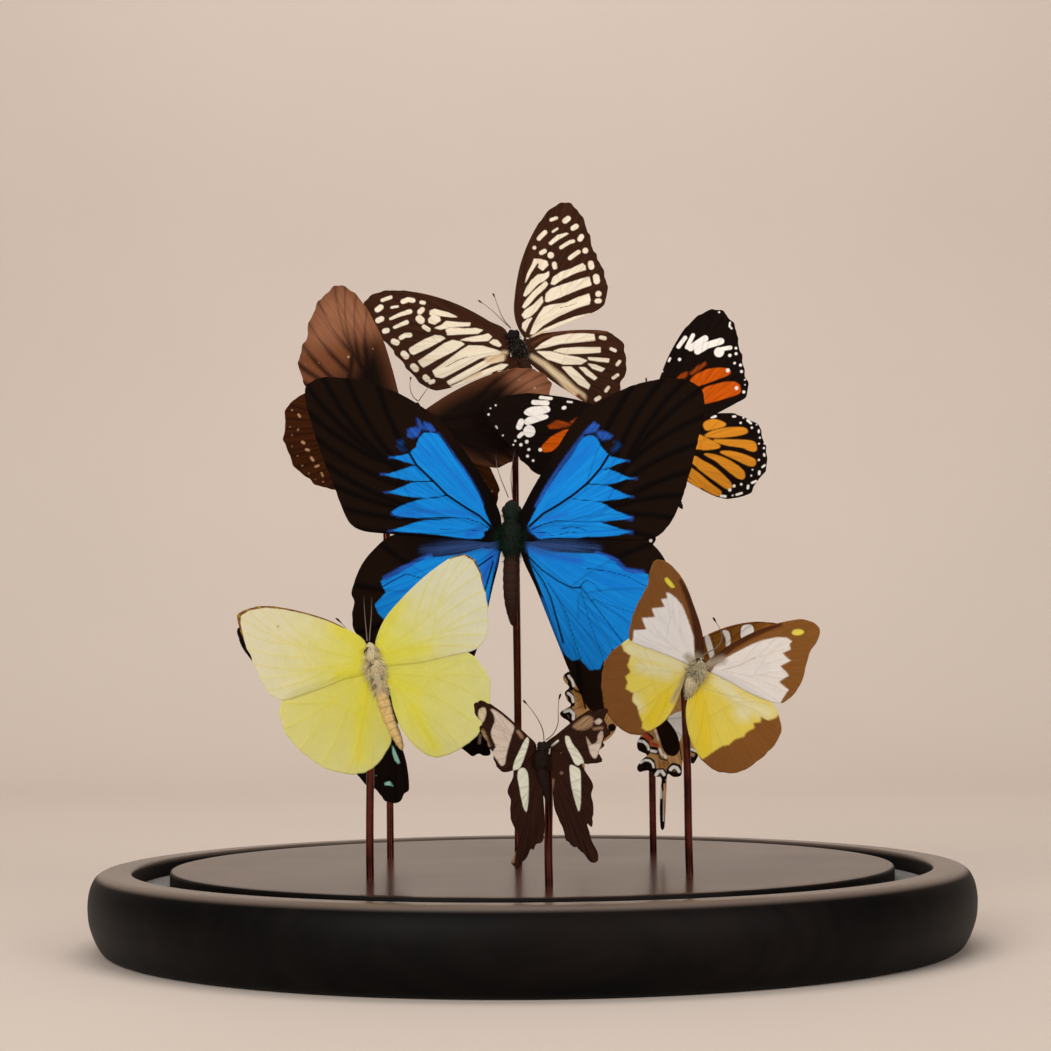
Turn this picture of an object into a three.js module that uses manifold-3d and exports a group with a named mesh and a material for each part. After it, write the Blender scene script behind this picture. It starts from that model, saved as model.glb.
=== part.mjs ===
// Nine mounted butterflies on copper rods, standing in a round wooden dome base.
// Millimetres, +Z up, origin at the middle of the base's underside, front towards -Y.
import * as THREE from 'three';
import * as BufferGeometryUtils from 'three/addons/utils/BufferGeometryUtils.js';
import Module from 'manifold-3d';

const wasm = await Module();
wasm.setup();
const { Manifold, Mesh } = wasm;

const BASE_RADIUS = 125;
const BASE_HEIGHT = 22;
const FOOT_RADIUS = 119;
const DISC_RADIUS = 102.5;
const GROOVE_RADIUS = 113;
const GROOVE_DEPTH = 6;
const FLOCK_THICKNESS = 1;
const ROD_DIAMETER = 2.1;
const ROD_SINK = 0.3;
const WING_THICKNESS = 0.45;
const FOREWING_SETBACK = 0.3;
const HINDWING_SETBACK = 1.15;
const GAP = 0.3;
const BASE_SIDES = 64;
const ROD_SIDES = 16;
const BODY_SIDES = 12;

// The display is arranged to be seen from here; wings are drawn in front view
// around the thorax and slid along the line of sight onto their own tilted plane.
const VIEWER = new THREE.Vector3(0, -661, 75);

// Rod feet on the disc, the x of the upper end, and the height of the upper end.
const RODS = {
  rod_front_middle: { x: 4.3, y: -70.8, topX: 4.3, top: 55.5 },
  rod_front_left: { x: -43.4, y: -42.3, topX: -43.4, top: 78.5 },
  rod_front_right: { x: 42.6, y: -36.2, topX: 41.8, top: 74.5 },
  rod_rear_left: { x: -42.2, y: 27.7, topX: -43, top: 138 },
  rod_rear_right: { x: 36.8, y: 39, topX: 36.8, top: 144.5 },
  rod_middle_low: { x: -3.9, y: 0, topX: -3.9, top: 116 },
  rod_middle_high: { x: -4.2, y: 78, topX: -4.2, top: 181.5 },
};

// tilt: how far a wing comes back per millimetre sideways (left, right) and upwards.
// body: points along the insect from head to tail as [x, depth, z, radius].
const BUTTERFLIES = {
  zebra: {
    at: [-3.5, 74.8, 181.5],
    colour: 0x3a2419,
    tilt: { left: [0.28, 0.25], right: [0.14, 0.13] },
    body: [[-2.1, 0, 6, 0.8], [-1.5, 0, 4.6, 1.7], [-0.8, 0, 2.8, 2.3], [0.3, 0, 0, 2.7],
      [1.6, 0, -3.2, 2.3], [3, 0.2, -6.5, 1.9], [5, 0.6, -11.5, 1.5], [6.2, 0.8, -14.5, 0.6]],
    forewing_left: [[-3, 5], [-9, 9], [-16, 13], [-23, 16], [-31, 18.3], [-39, 19.3], [-45, 18.7],
      [-49, 16], [-49.3, 12], [-47, 7], [-42.5, 2], [-38, -3.5], [-34, -8.5], [-30.5, -12],
      [-26.5, -13.6], [-21, -12.7], [-14, -10.3], [-7, -7.5], [-2.5, -6]],
    forewing_right: [[0.3, 7], [-0.8, 12], [-0.4, 18], [0.8, 25], [2.6, 31], [5.2, 37], [9, 43],
      [12.5, 46.4], [16.5, 47.7], [19.5, 46.2], [22, 42.5], [24, 37], [25.5, 31.5], [28, 26.5],
      [29.7, 20.5], [29.2, 15.5], [27, 12.5], [22, 10.2], [14, 7], [7, 4.2], [3, 3]],
    hindwing_left: [[-3, -3], [-8, -8], [-11, -14], [-12, -20], [-10.5, -26], [-6, -28.5],
      [-1, -27], [2, -22], [3, -14], [2, -7], [0, -4]],
    hindwing_right: [[2.5, 3.5], [9, 4.8], [17, 5.6], [25, 5.7], [30, 5], [32.5, 3.4], [34.8, 1.2],
      [35.1, -1], [35.9, -3.5], [35.4, -6.3], [35.6, -9], [33.9, -11.5], [33.3, -14],
      [30.5, -16.8], [27, -19], [23.5, -19.3], [20.5, -17], [15.5, -13.8], [10, -9.8],
      [5.5, -6.2], [3, -3]],
  },
  crow: {
    at: [-36, 24.5, 151],
    colour: 0x2c1a12,
    tilt: { left: [0.15, 0.05], right: [0.12, 0.05] },
    body: [[2.9, 0, 7, 0.7], [2.3, 0, 5.5, 1.5], [1.3, 0, 3.2, 2.1], [0, 0, 0, 2.5],
      [-1.8, 0, -3.6, 2.2], [-4, 0.3, -9, 2], [-6.6, 0.5, -15.5, 1.6], [-8.2, 0.6, -19.5, 0.6]],
    forewing_left: [[-2, 5], [-3.2, 11], [-5, 18], [-7.3, 25.5], [-10.3, 32], [-13.5, 37.5],
      [-17, 41.3], [-21, 43], [-24.5, 41], [-27.5, 37.5], [-30, 32], [-31, 27], [-33, 22],
      [-33.2, 17.5], [-31.3, 12.5], [-29, 7], [-22, 4], [-12, 1.5], [-4, 0]],
    forewing_right: [[3, 3], [9, 7.5], [15, 11], [22, 14.3], [29, 16.6], [35, 17.3], [40, 16],
      [43, 13], [43, 9], [41.5, 3], [38.5, -3], [35.5, -8], [32, -10.8], [26, -13], [18, -11],
      [9, -6], [2, -1]],
    hindwing_left: [[-3, 3], [-14, 8], [-24, 10.5], [-31, 10.2], [-35, 8.2], [-37.2, 5],
      [-37.7, 0], [-37.6, -5], [-36, -9.5], [-33.5, -13.5], [-29.5, -16.8], [-25, -19],
      [-20, -19.5], [-13, -17], [-6, -10], [-2, -4]],
    hindwing_right: [[3, -1], [12, -5], [20, -9.5], [24.5, -13], [26.6, -17], [27.3, -21],
      [26, -26], [22, -30], [16, -31], [9, -27], [3, -18], [0, -8]],
  },
  tiger: {
    at: [37, 35.8, 144],
    colour: 0x1a0f0a,
    tilt: { left: [0.34, 0.12], right: [-0.05, 0.12] },
    body: [[-3.8, 0, 8.3, 0.7], [-3, 0, 6.6, 1.5], [-1.8, 0, 4, 2], [0, 0, 0, 2.5],
      [2, 0, -3.8, 2.1], [4.6, 0.1, -8.6, 1.8], [7.6, 0.2, -14, 1.6], [9.8, 0.2, -18, 0.7]],
    forewing_left: [[-1, 6], [-8, 10.5], [-15, 13.5], [-22, 15.8], [-30, 17.3], [-38, 18],
      [-45, 17], [-49.5, 14.8], [-50.5, 11.5], [-47.8, 7], [-44.3, 3], [-40.8, -1.2],
      [-37.5, -4.5], [-34, -7.3], [-28, -7], [-18, -4.5], [-8, -2], [-2, -1]],
    forewing_right: [[0, 4], [0.5, 11], [2, 18], [4.2, 24.5], [7, 30.8], [10.5, 36.5],
      [14.5, 40.8], [18.5, 43.1], [22, 43.3], [25, 41], [27.2, 37], [27.7, 33], [28.8, 28.5],
      [29.6, 24], [30.6, 20], [29.8, 16.3], [26.5, 14.2], [21, 11.3], [13, 7], [5, 1.5]],
    hindwing_left: [[-3, -1], [-9, -6], [-16, -13], [-21, -20], [-22, -26], [-19, -30],
      [-13, -32], [-6, -31], [0, -29.5], [1.6, -27.5], [1, -24], [2, -15], [1, -6]],
    hindwing_right: [[2, 1], [8, 5.5], [14.5, 8.7], [19, 11], [25, 11.3], [30, 9.8], [34, 7],
      [35, 3.5], [35.8, 0], [36.3, -4], [35, -7.5], [32.8, -10.5], [30, -14], [25.5, -15.1],
      [20.5, -14.6], [15, -11.8], [10.5, -9.2], [6, -7], [2, -3]],
  },
  blue: {
    at: [-5.5, -3.2, 114.5],
    colour: 0x1673d0,
    tilt: { left: [0.3, -0.08], right: [-0.3, -0.08] },
    body: [[0.5, 0, 11.8, 0.9], [0.5, 0, 10.2, 2], [0.5, 0, 8, 2.4], [0.4, 0, 3.5, 3.2],
      [0.4, 0, -1, 3.2], [0.4, 0, -5.5, 2.5], [0.2, 0, -12, 2.4], [0.3, 0, -19, 2.1],
      [0.5, 0, -24.5, 0.8]],
    forewing_left: [[-2.5, 6], [-5, 13], [-9, 20], [-14, 27.5], [-19, 34], [-24.5, 38.5],
      [-32, 43], [-40, 46], [-48, 47.6], [-54, 47.6], [-58.5, 45.5], [-58.8, 41], [-57, 34],
      [-54.5, 26], [-51.5, 18.5], [-48.8, 11], [-46.2, 5.5], [-42.5, 3.2], [-36, 2.3],
      [-26, 1.5], [-14, 0.5], [-4, 0]],
    forewing_right: [[2.5, 6], [5, 12], [9, 19], [14, 27], [18.5, 34], [22.5, 38], [29, 41.7],
      [36, 44.7], [43, 46.3], [49, 46.5], [53.8, 45], [56.3, 41.5], [56.3, 36], [54.5, 28.5],
      [52.2, 20], [49.8, 12], [47, 6], [44, 2], [40.5, 0.2], [34, -0.2], [24, 0.3], [12, 0.6],
      [4, 0]],
    hindwing_left: [[-3, 1.5], [-14, 2], [-26, 2.6], [-34, 1.8], [-39, -2], [-43, -7], [-45.6, -14],
      [-45, -17.5], [-45.6, -21], [-45, -25.5], [-42, -29], [-39, -33], [-35, -38], [-31, -43],
      [-34.5, -48], [-38.5, -54], [-38.5, -58], [-35.5, -58.5], [-33.5, -54], [-30, -48.5],
      [-26, -48.5], [-22, -48.8], [-18, -46.5], [-14, -41], [-11, -34.5], [-8.8, -28],
      [-6.8, -20.5], [-5, -13], [-3, -5]],
    hindwing_right: [[3, 1.5], [14, 2], [26, 1.8], [36, 0.9], [41, -1.5], [44.5, -6],
      [46.5, -12], [46, -18], [44, -24], [41.5, -29], [38.5, -34], [35.5, -38.5], [33, -42.5],
      [35.5, -46.5], [40, -50], [44.5, -52], [47.3, -56], [48, -60], [46.3, -62.2],
      [43.8, -60.8], [42.2, -56.5], [40.5, -53], [36, -50.5], [30.5, -48], [26.5, -49.5],
      [22.5, -48.8], [20, -44.5], [17, -38.5], [14, -31], [10.5, -22], [7, -13], [3.5, -5]],
  },
  yellow: {
    at: [-42, -45.5, 78],
    colour: 0xdcd26a,
    tilt: { left: [0.3, 0.25], right: [-0.15, 0.25] },
    body: [[-1.3, 0.9, 7, 0.7], [-0.9, 0.7, 5.6, 1.5], [-0.4, 0.4, 3.4, 2], [0.3, 0, 0, 2.5],
      [1.3, -0.5, -4, 2.1], [2.8, -1.2, -9, 1.9], [4.4, -1.8, -14, 1.8], [6.6, -2.6, -19, 1.6],
      [7.8, -3, -22, 0.7]],
    forewing_left: [[-1.8, 5.5], [-3.3, 8.3], [-7, 10.5], [-12, 13], [-18, 15], [-24, 16.4],
      [-29, 17], [-33.5, 16.3], [-36.5, 14.7], [-36.3, 12.2], [-35, 8], [-33, 3.3],
      [-31.2, -1], [-29.3, -5], [-26.8, -7.6], [-23.5, -8.3], [-16, -6], [-8, -3], [-2, -1]],
    forewing_right: [[0.4, 5.5], [1.2, 9.5], [3.4, 13.8], [7, 18], [11.5, 22.5], [16, 26.3],
      [20.5, 29.3], [24.3, 30.4], [27.2, 29], [28.8, 25.5], [30, 20.5], [30.8, 15.5],
      [30.8, 10.5], [29.5, 6.8], [26.5, 4.4], [20, 3], [13, 1.5], [6, 0.8], [2, 1]],
    hindwing_left: [[-2, -0.5], [-9, -1.8], [-17, -4.2], [-23.2, -6.8], [-25.4, -11],
      [-24.8, -14.5], [-22.5, -19], [-18.5, -23], [-13.5, -26.5], [-8, -28.2], [-3.5, -28.2],
      [0, -26.3], [2, -23], [3.8, -19.7], [2.5, -16.5], [0.8, -12.5], [-0.2, -7], [-0.7, -3]],
    hindwing_right: [[3, 1], [9, 2.6], [15, 3.6], [21, 4.6], [25.5, 4], [29, 0.8], [31, -3],
      [31.3, -7.5], [30.3, -12.5], [28.2, -17.5], [25, -20.5], [21, -22.8], [17, -24],
      [13.5, -23], [10, -20], [7.2, -16], [5.3, -11], [4.2, -6], [3, -3]],
  },
  pied: {
    at: [45, -39.4, 77.5],
    colour: 0xd9bb4a,
    tilt: { left: [0.4, 0.05], right: [-0.06, 0.05] },
    body: [[1.3, 0.2, 2.6, 0.7], [0.9, 0.1, 1.2, 1.5], [0, 0, -1, 2], [-1.3, 0, -4, 2.5],
      [-2, 0.3, -6.2, 2], [-2.5, 0.7, -7.8, 1.3], [-2.7, 0.9, -8.8, 0.6]],
    forewing_left: [[1.5, 0.5], [2.1, 4], [1.9, 8], [0.9, 12.5], [-0.6, 17], [-2.2, 21.5],
      [-4.2, 25.2], [-6.5, 27.7], [-9, 29.3], [-11.3, 28.8], [-12.4, 26], [-13, 22.5],
      [-14.8, 19.5], [-16.7, 15.5], [-17.8, 11.5], [-18.2, 8.5], [-17, 6.8], [-11, 4.5],
      [-5, 2], [-1, 0]],
    forewing_right: [[2.4, 0.8], [4.8, 3.2], [9, 6], [14, 8.7], [19, 10.8], [24, 12.2],
      [28.5, 12.8], [31.7, 12], [33.5, 10.2], [33.2, 7.6], [31.5, 5], [30.2, 2],
      [29.2, -1.5], [28, -5], [26, -7.7], [23.3, -9.8], [20, -9.5], [14, -7], [8, -3.5],
      [3, -1]],
    hindwing_left: [[-2, 0.6], [-7, 3.8], [-12.5, 6.6], [-17.3, 8.2], [-20.3, 6.5],
      [-23.3, 4.3], [-25.2, 1], [-25.9, -3.5], [-25.6, -8], [-24.5, -12], [-22, -15.3],
      [-19, -17.6], [-16, -18.2], [-13, -17.2], [-9.5, -15], [-6.8, -11.8], [-5, -8],
      [-3.5, -4]],
    hindwing_right: [[1.5, -0.2], [7, -1.6], [13, -4.8], [18, -7.8], [20.5, -9.9], [22.3, -14],
      [22.7, -17.2], [21, -20.8], [18, -24], [14, -27], [9.5, -28.7], [5, -28], [1.8, -25.8],
      [-0.6, -22.5], [-2.4, -18], [-3.1, -13], [-2.6, -8.5], [-1, -5]],
  },
  dragontail: {
    at: [3.5, -74, 57],
    colour: 0x35221a,
    tilt: { left: [0.22, 0.12], right: [-0.22, 0.12] },
    body: [[0, 0, 2, 0.5], [-0.2, 0, 1, 1.2], [-0.6, 0, -1, 1.8], [-1, 0, -3.6, 2.1],
      [-0.7, 0, -6.6, 1.7], [0, 0, -10, 1.3], [0.9, 0, -14, 0.5]],
    forewing_left: [[-2.3, 1.3], [-4.5, 3.6], [-7, 6], [-10, 8.8], [-13, 11], [-15.6, 12.2],
      [-17.4, 11.9], [-18, 10.5], [-17.5, 8], [-16.6, 5.5], [-15.3, 2.8], [-14, 0],
      [-12.8, -3], [-11.6, -5.2], [-10, -5.8], [-8.2, -5.5], [-6.5, -5], [-5, -3.5], [-2.5, -1]],
    forewing_right: [[0.3, 1.5], [3, 3.6], [6, 6], [9, 8.3], [11.8, 9.8], [14.2, 9.9],
      [16, 8.8], [16.3, 7], [15.6, 4.5], [14.9, 1.8], [14.2, -1], [13.2, -3.3], [11.8, -4.2],
      [10.2, -3.9], [8.3, -4.3], [6.3, -3], [4, -1], [1.5, 0]],
    hindwing_left: [[-2, -0.2], [-5, -2.4], [-7.7, -4.4], [-8.2, -7.2], [-9.2, -9.3],
      [-9.6, -11], [-8.8, -13], [-9, -16], [-8.5, -19], [-7, -22], [-7.3, -25.5],
      [-9, -29.3], [-7.3, -30], [-5.8, -28], [-4, -26], [-2.5, -24.5], [-0.6, -23.5],
      [-0.2, -18], [-0.6, -10], [-1, -4]],
    hindwing_right: [[1.5, 0], [4.6, -1.4], [8.5, -3.2], [10.4, -6], [12.2, -9.2], [11.8, -12],
      [12.3, -15], [11.9, -18.3], [11.2, -19.3], [10.5, -18.8], [11.2, -21.5], [12, -24],
      [13.4, -27.2], [11.8, -29.3], [10.3, -27.5], [8.7, -26], [7, -25], [5.3, -23.5],
      [4.6, -21], [3.3, -17.5], [2.2, -14.5], [1.8, -8]],
  },
  swordtail: {
    at: [36, 35.8, 76.5],
    colour: 0x7a5530,
    tilt: { left: [0.2, 0], right: [-0.2, 0] },
    body: [[3.2, 0, 6.2, 0.6], [2.6, 0, 5, 1.4], [1.4, 0, 2.7, 1.9], [0, 0, 0, 2.3],
      [-1.8, 0, -3.3, 2], [-4, 0, -7.5, 1.6], [-6.6, 0, -12.5, 0.6]],
    forewing_left: [[-1, 2], [-4, 10], [-8, 19], [-12, 27], [-16, 32.5], [-20, 34.5],
      [-23.5, 32], [-24, 26], [-22.5, 18], [-19, 10], [-12, 4], [-4, -1]],
    forewing_right: [[2, 1], [9, 6.3], [16.5, 10.5], [22, 12.9], [28, 14.5], [34, 15],
      [40, 14.3], [44, 12.5], [45.5, 9.5], [44.8, 4], [42.3, -2], [38.5, -6.5], [32, -7.5],
      [22, -5.5], [10, -3], [2, -2]],
    hindwing_left: [[-2, -1], [-9, 1.5], [-16, 2.3], [-22, 1.2], [-25.8, -0.5],
      [-25.8, -2.6], [-24.3, -4.4], [-25.6, -6], [-25, -8.3], [-23.9, -9.9], [-27, -11.9],
      [-26.4, -13.5], [-24.4, -15], [-23.8, -17.5], [-22, -19], [-21.4, -24], [-21.6, -30],
      [-21.3, -37], [-20.2, -37], [-19.9, -30], [-19.2, -23], [-14, -21], [-11, -18.5],
      [-9.8, -15.5], [-8.5, -10], [-5, -5]],
    hindwing_right: [[1.5, -2], [8, -3], [14, -6], [17, -11], [17.5, -17], [15.5, -22],
      [14.5, -25.5], [13, -27.8], [11.5, -26.8], [9.8, -27.5], [9.3, -31.3], [7, -31.8],
      [5.2, -31], [4.8, -36], [4.5, -42], [4, -47.2], [3, -47.3], [2.7, -42], [3, -36],
      [3.3, -32], [1.5, -31.6], [-0.5, -29.8], [-3.2, -30.2], [-4, -28.8], [-2.5, -26.5],
      [-1, -25], [-3.6, -23.5], [-3.8, -21], [-2.8, -19.2], [-3, -16], [-2.5, -8]],
  },
  bluebottle: {
    at: [-42.5, 24.5, 72],
    colour: 0x160f0c,
    tilt: { left: [0.15, 0], right: [-0.15, 0] },
    body: [[-3.4, 0, 6.4, 0.6], [-2.7, 0, 5, 1.4], [-1.5, 0, 2.8, 1.9], [0, 0, 0, 2.3],
      [1.5, 0, -3, 2], [3.6, 0, -7, 1.6], [6, 0, -11.5, 0.6]],
    forewing_left: [[-3, 3], [-10, 9], [-18, 14.5], [-26, 18.5], [-34, 20.5], [-41, 20.5],
      [-44.6, 18.8], [-45, 16.5], [-43.6, 13], [-41.3, 9.6], [-37, 5], [-32, 0.5], [-27, -3],
      [-20, -3.5], [-10, -2], [-3, -1]],
    forewing_right: [[-1, 4], [-1, 12], [1.5, 22], [5, 31], [9, 37.5], [13, 40.5],
      [16.5, 39.5], [18, 34], [18, 27], [16.5, 20], [13, 12], [8, 5], [3, 1]],
    hindwing_left: [[-3, -3], [-7, -8], [-10, -14], [-11, -20], [-10.3, -24], [-8, -27],
      [-6.2, -29], [-4, -29.6], [-2.2, -31.6], [-1, -33.3], [1.5, -33.8], [3.6, -33.2],
      [4.6, -31.2], [6, -30], [6, -26.5], [5.4, -22], [4.3, -18], [2, -11], [0, -4]],
    hindwing_right: [[2, -1], [9, 1], [17, 1], [23.5, -1.5], [27.5, -5.5], [29.3, -10],
      [29.8, -14], [30.3, -17.5], [30.3, -19.6], [28.5, -20.1], [27, -19.4], [25, -20.1],
      [23.2, -18.8], [20, -16.5], [14, -13], [8, -8.5], [3, -4]],
  },
};

const group = new THREE.Group();

function addPiece(name, geometry, colour, roughness = 0.6, metalness = 0) {
  const material = new THREE.MeshStandardMaterial({ color: colour, roughness, metalness });
  const mesh = new THREE.Mesh(geometry, material);
  mesh.name = name;
  group.add(mesh);
}

function toManifold(geometry) {
  const bare = geometry.clone();
  bare.deleteAttribute('normal');
  bare.deleteAttribute('uv');
  const merged = BufferGeometryUtils.mergeVertices(bare, 1e-4);
  return new Manifold(new Mesh({
    numProp: 3,
    vertProperties: new Float32Array(merged.attributes.position.array),
    triVerts: new Uint32Array(merged.index.array),
  }));
}

function toGeometry(solid) {
  const mesh = solid.getMesh();
  const geometry = new THREE.BufferGeometry();
  geometry.setAttribute('position', new THREE.BufferAttribute(mesh.vertProperties, 3));
  geometry.setIndex(new THREE.BufferAttribute(mesh.triVerts, 1));
  geometry.computeVertexNormals();
  return geometry;
}

function turned(points, sides) {
  const profile = points.map(([radius, z]) => new THREE.Vector2(radius, z));
  return new THREE.LatheGeometry(profile, sides).rotateX(Math.PI / 2);
}

// Slide a front-view point along the line of sight onto the wing's tilted plane.
function onWingPlane(x, z, at, tilt, setback) {
  const start = new THREE.Vector3(at[0] + x, at[1], at[2] + z);
  const sight = start.clone().sub(VIEWER);
  const fromThorax = VIEWER.clone().sub(new THREE.Vector3(...at));
  const [across, upward] = tilt;
  const reach = setback + across * fromThorax.x + upward * fromThorax.z - fromThorax.y;
  const t = reach / (sight.y - across * sight.x - upward * sight.z);
  return VIEWER.clone().addScaledVector(sight, t);
}

function wingPlate(outline, at, tilt, setback) {
  const shape = new THREE.Shape(outline.map(([x, z]) => new THREE.Vector2(x, z)));
  const plate = new THREE.ExtrudeGeometry(shape, { depth: WING_THICKNESS, bevelEnabled: false });
  const backwards = new THREE.Vector3(-tilt[0], 1, -tilt[1]).normalize();
  const position = plate.attributes.position;
  for (let i = 0; i < position.count; i += 1) {
    const front = onWingPlane(position.getX(i), position.getY(i), at, tilt, setback);
    front.addScaledVector(backwards, position.getZ(i));
    position.setXYZ(i, front.x, front.y, front.z);
  }
  const index = [...Array(position.count).keys()];
  for (let i = 0; i < index.length; i += 3) {
    [index[i + 1], index[i + 2]] = [index[i + 2], index[i + 1]];
  }
  plate.setIndex(index);
  return plate;
}

// A chain of rings from head to tail, closed by a point at each end.
function bodySolid(stations, at, extra) {
  const rings = stations.map(([x, depth, z, radius]) => ({
    centre: new THREE.Vector3(at[0] + x, at[1] + depth, at[2] + z),
    radius: radius + extra,
  }));
  const last = rings.length - 1;
  const axis = rings[last].centre.clone().sub(rings[0].centre).normalize();
  const side = new THREE.Vector3(0, 1, 0).cross(axis).normalize();
  const front = axis.clone().cross(side).normalize();
  const vertices = [];
  const faces = [];
  for (const { centre, radius } of rings) {
    for (let i = 0; i < BODY_SIDES; i += 1) {
      const angle = (2 * Math.PI * i) / BODY_SIDES;
      const point = centre.clone().addScaledVector(side, radius * Math.cos(angle));
      point.addScaledVector(front, radius * Math.sin(angle));
      vertices.push(point.x, point.y, point.z);
    }
  }
  const headTip = rings[0].centre.clone().addScaledVector(axis, -0.7 * rings[0].radius);
  const tailTip = rings[last].centre.clone().addScaledVector(axis, 0.9 * rings[last].radius);
  vertices.push(headTip.x, headTip.y, headTip.z, tailTip.x, tailTip.y, tailTip.z);
  const head = rings.length * BODY_SIDES;
  const tail = head + 1;
  for (let i = 0; i < BODY_SIDES; i += 1) {
    const next = (i + 1) % BODY_SIDES;
    faces.push(head, next, i);
    faces.push(tail, last * BODY_SIDES + i, last * BODY_SIDES + next);
    for (let k = 0; k < last; k += 1) {
      const a = k * BODY_SIDES;
      const b = a + BODY_SIDES;
      faces.push(a + i, a + next, b + next);
      faces.push(a + i, b + next, b + i);
    }
  }
  const geometry = new THREE.BufferGeometry();
  geometry.setAttribute('position', new THREE.Float32BufferAttribute(vertices, 3));
  geometry.setIndex(faces);
  geometry.computeVertexNormals();
  return geometry;
}

const grooveFloor = BASE_HEIGHT - GROOVE_DEPTH;
addPiece('base', turned([
  [0, 0], [FOOT_RADIUS, 0], [121.2, 1], [123.4, 4.5], [BASE_RADIUS, 10.5], [BASE_RADIUS, 14.5],
  [124.2, 18.4], [122.9, 20.9], [121.2, BASE_HEIGHT], [GROOVE_RADIUS, BASE_HEIGHT],
  [GROOVE_RADIUS, grooveFloor], [DISC_RADIUS, grooveFloor], [DISC_RADIUS, BASE_HEIGHT - 0.8],
  [DISC_RADIUS - 0.8, BASE_HEIGHT], [0, BASE_HEIGHT],
], BASE_SIDES), 0x0d0b0b, 0.3);

addPiece('groove_flock', turned([
  [DISC_RADIUS + 0.5, grooveFloor + GAP], [GROOVE_RADIUS - 0.5, grooveFloor + GAP],
  [GROOVE_RADIUS - 0.5, grooveFloor + GAP + FLOCK_THICKNESS],
  [DISC_RADIUS + 0.5, grooveFloor + GAP + FLOCK_THICKNESS],
  [DISC_RADIUS + 0.5, grooveFloor + GAP],
], BASE_SIDES), 0x4a4642, 0.95);

const clearances = Object.values(BUTTERFLIES)
  .map(({ body, at }) => toManifold(bodySolid(body, at, GAP)));

for (const [name, { x, y, topX, top }] of Object.entries(RODS)) {
  const foot = BASE_HEIGHT + ROD_SINK;
  const length = top - foot;
  const rod = new THREE.CylinderGeometry(ROD_DIAMETER / 2, ROD_DIAMETER / 2, length, ROD_SIDES);
  rod.rotateX(Math.PI / 2).translate(0, 0, length / 2);
  rod.applyMatrix4(new THREE.Matrix4().makeShear(0, 0, 0, 0, (topX - x) / length, 0));
  rod.translate(x, y, foot);
  const notched = clearances.reduce((solid, body) => solid.subtract(body), toManifold(rod));
  addPiece(name, toGeometry(notched), 0x6b3424, 0.35, 1);
}

for (const [name, insect] of Object.entries(BUTTERFLIES)) {
  const { at, body, tilt, colour } = insect;
  addPiece(`${name}_body`, bodySolid(body, at, 0), 0x2a2420, 0.9);
  const clearance = toManifold(bodySolid(body, at, GAP));
  for (const side of ['left', 'right']) {
    for (const [wing, setback] of [['forewing', FOREWING_SETBACK], ['hindwing', HINDWING_SETBACK]]) {
      const plate = toManifold(wingPlate(insect[`${wing}_${side}`], at, tilt[side], setback));
      addPiece(`${name}_${wing}_${side}`, toGeometry(plate.subtract(clearance)), colour, 0.7);
    }
  }
}

export default group;
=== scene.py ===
"""Nine dried butterflies on copper rods, standing in a round black wooden dome base.

Sizes in the tables are millimetres. Each butterfly is drawn in front view around its thorax, and its wings
are slid along the line of sight onto their own tilted planes.
"""

import math
import random

import bmesh
import bpy
import numpy as np
from bpy.props import FloatProperty, FloatVectorProperty, IntProperty, PointerProperty
from mathutils import Matrix, Vector


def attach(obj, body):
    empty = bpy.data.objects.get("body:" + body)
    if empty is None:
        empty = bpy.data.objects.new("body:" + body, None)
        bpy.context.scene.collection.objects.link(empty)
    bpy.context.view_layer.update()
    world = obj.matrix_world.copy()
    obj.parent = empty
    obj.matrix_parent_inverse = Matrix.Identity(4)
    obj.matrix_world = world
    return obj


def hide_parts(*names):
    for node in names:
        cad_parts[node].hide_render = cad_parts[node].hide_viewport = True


bl_info = {
    "name": "Butterfly display on a dome base",
    "version": (1, 0, 0),
    "blender": (4, 5, 0),
    "location": "3D View > Sidebar > Butterflies",
    "description": "Builds the wooden base, rods, wings, bodies, hair and feelers of the display",
    "category": "Add Mesh",
}

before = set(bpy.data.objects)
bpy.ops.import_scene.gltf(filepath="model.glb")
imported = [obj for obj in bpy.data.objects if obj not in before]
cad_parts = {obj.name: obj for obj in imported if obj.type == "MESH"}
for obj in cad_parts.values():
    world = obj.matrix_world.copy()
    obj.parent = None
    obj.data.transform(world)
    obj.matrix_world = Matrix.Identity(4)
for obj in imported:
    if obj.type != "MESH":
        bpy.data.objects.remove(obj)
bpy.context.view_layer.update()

MM = 0.001
SIDES = ("left", "right")

# The place that the front views are drawn from.
VIEWER = np.array((0.0, -661.0, 75.0))

# Distance that is kept where no mark is near.
FAR = 5.0

# Radii of the rings of points under the foot, on the flat rim and on the disc, in the order of the turning.
FOOT_RINGS = (0, 60, 110)
RIM_RADIUS = 116
DISC_RINGS = (98, 70, 40, 15, 0)

# Neck and waist of a body: place and reach as shares of its length, depth as a share of its radius.
NECK = (0.17, 0.03, 0.24)
WAIST = (0.46, 0.035, 0.16)
ABDOMEN_RINGS = 8

# Hair: share on the front half of a body, and where along the body the front and the rear hairs grow.
FRONT_SHARE = 0.85
FRONT_FROM, FRONT_TO, FRONT_DENSEST = 0.02, 0.62, 0.28
REAR_FROM, REAR_TO = 0.5, 0.97

# Hair: shortest and longest share of the given length, spread of its direction, radii at foot and tip.
SHORTEST, LONGEST = 0.55, 1.15
HAIR_SPREAD = 0.28
HAIR_FOOT, HAIR_TIP = 0.06, 0.012

# Feelers: radius, and the club's place and reach as shares of the length and how much it adds.
FEELER_RADIUS = 0.11
CLUB = (0.94, 0.045, 0.24)

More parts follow.
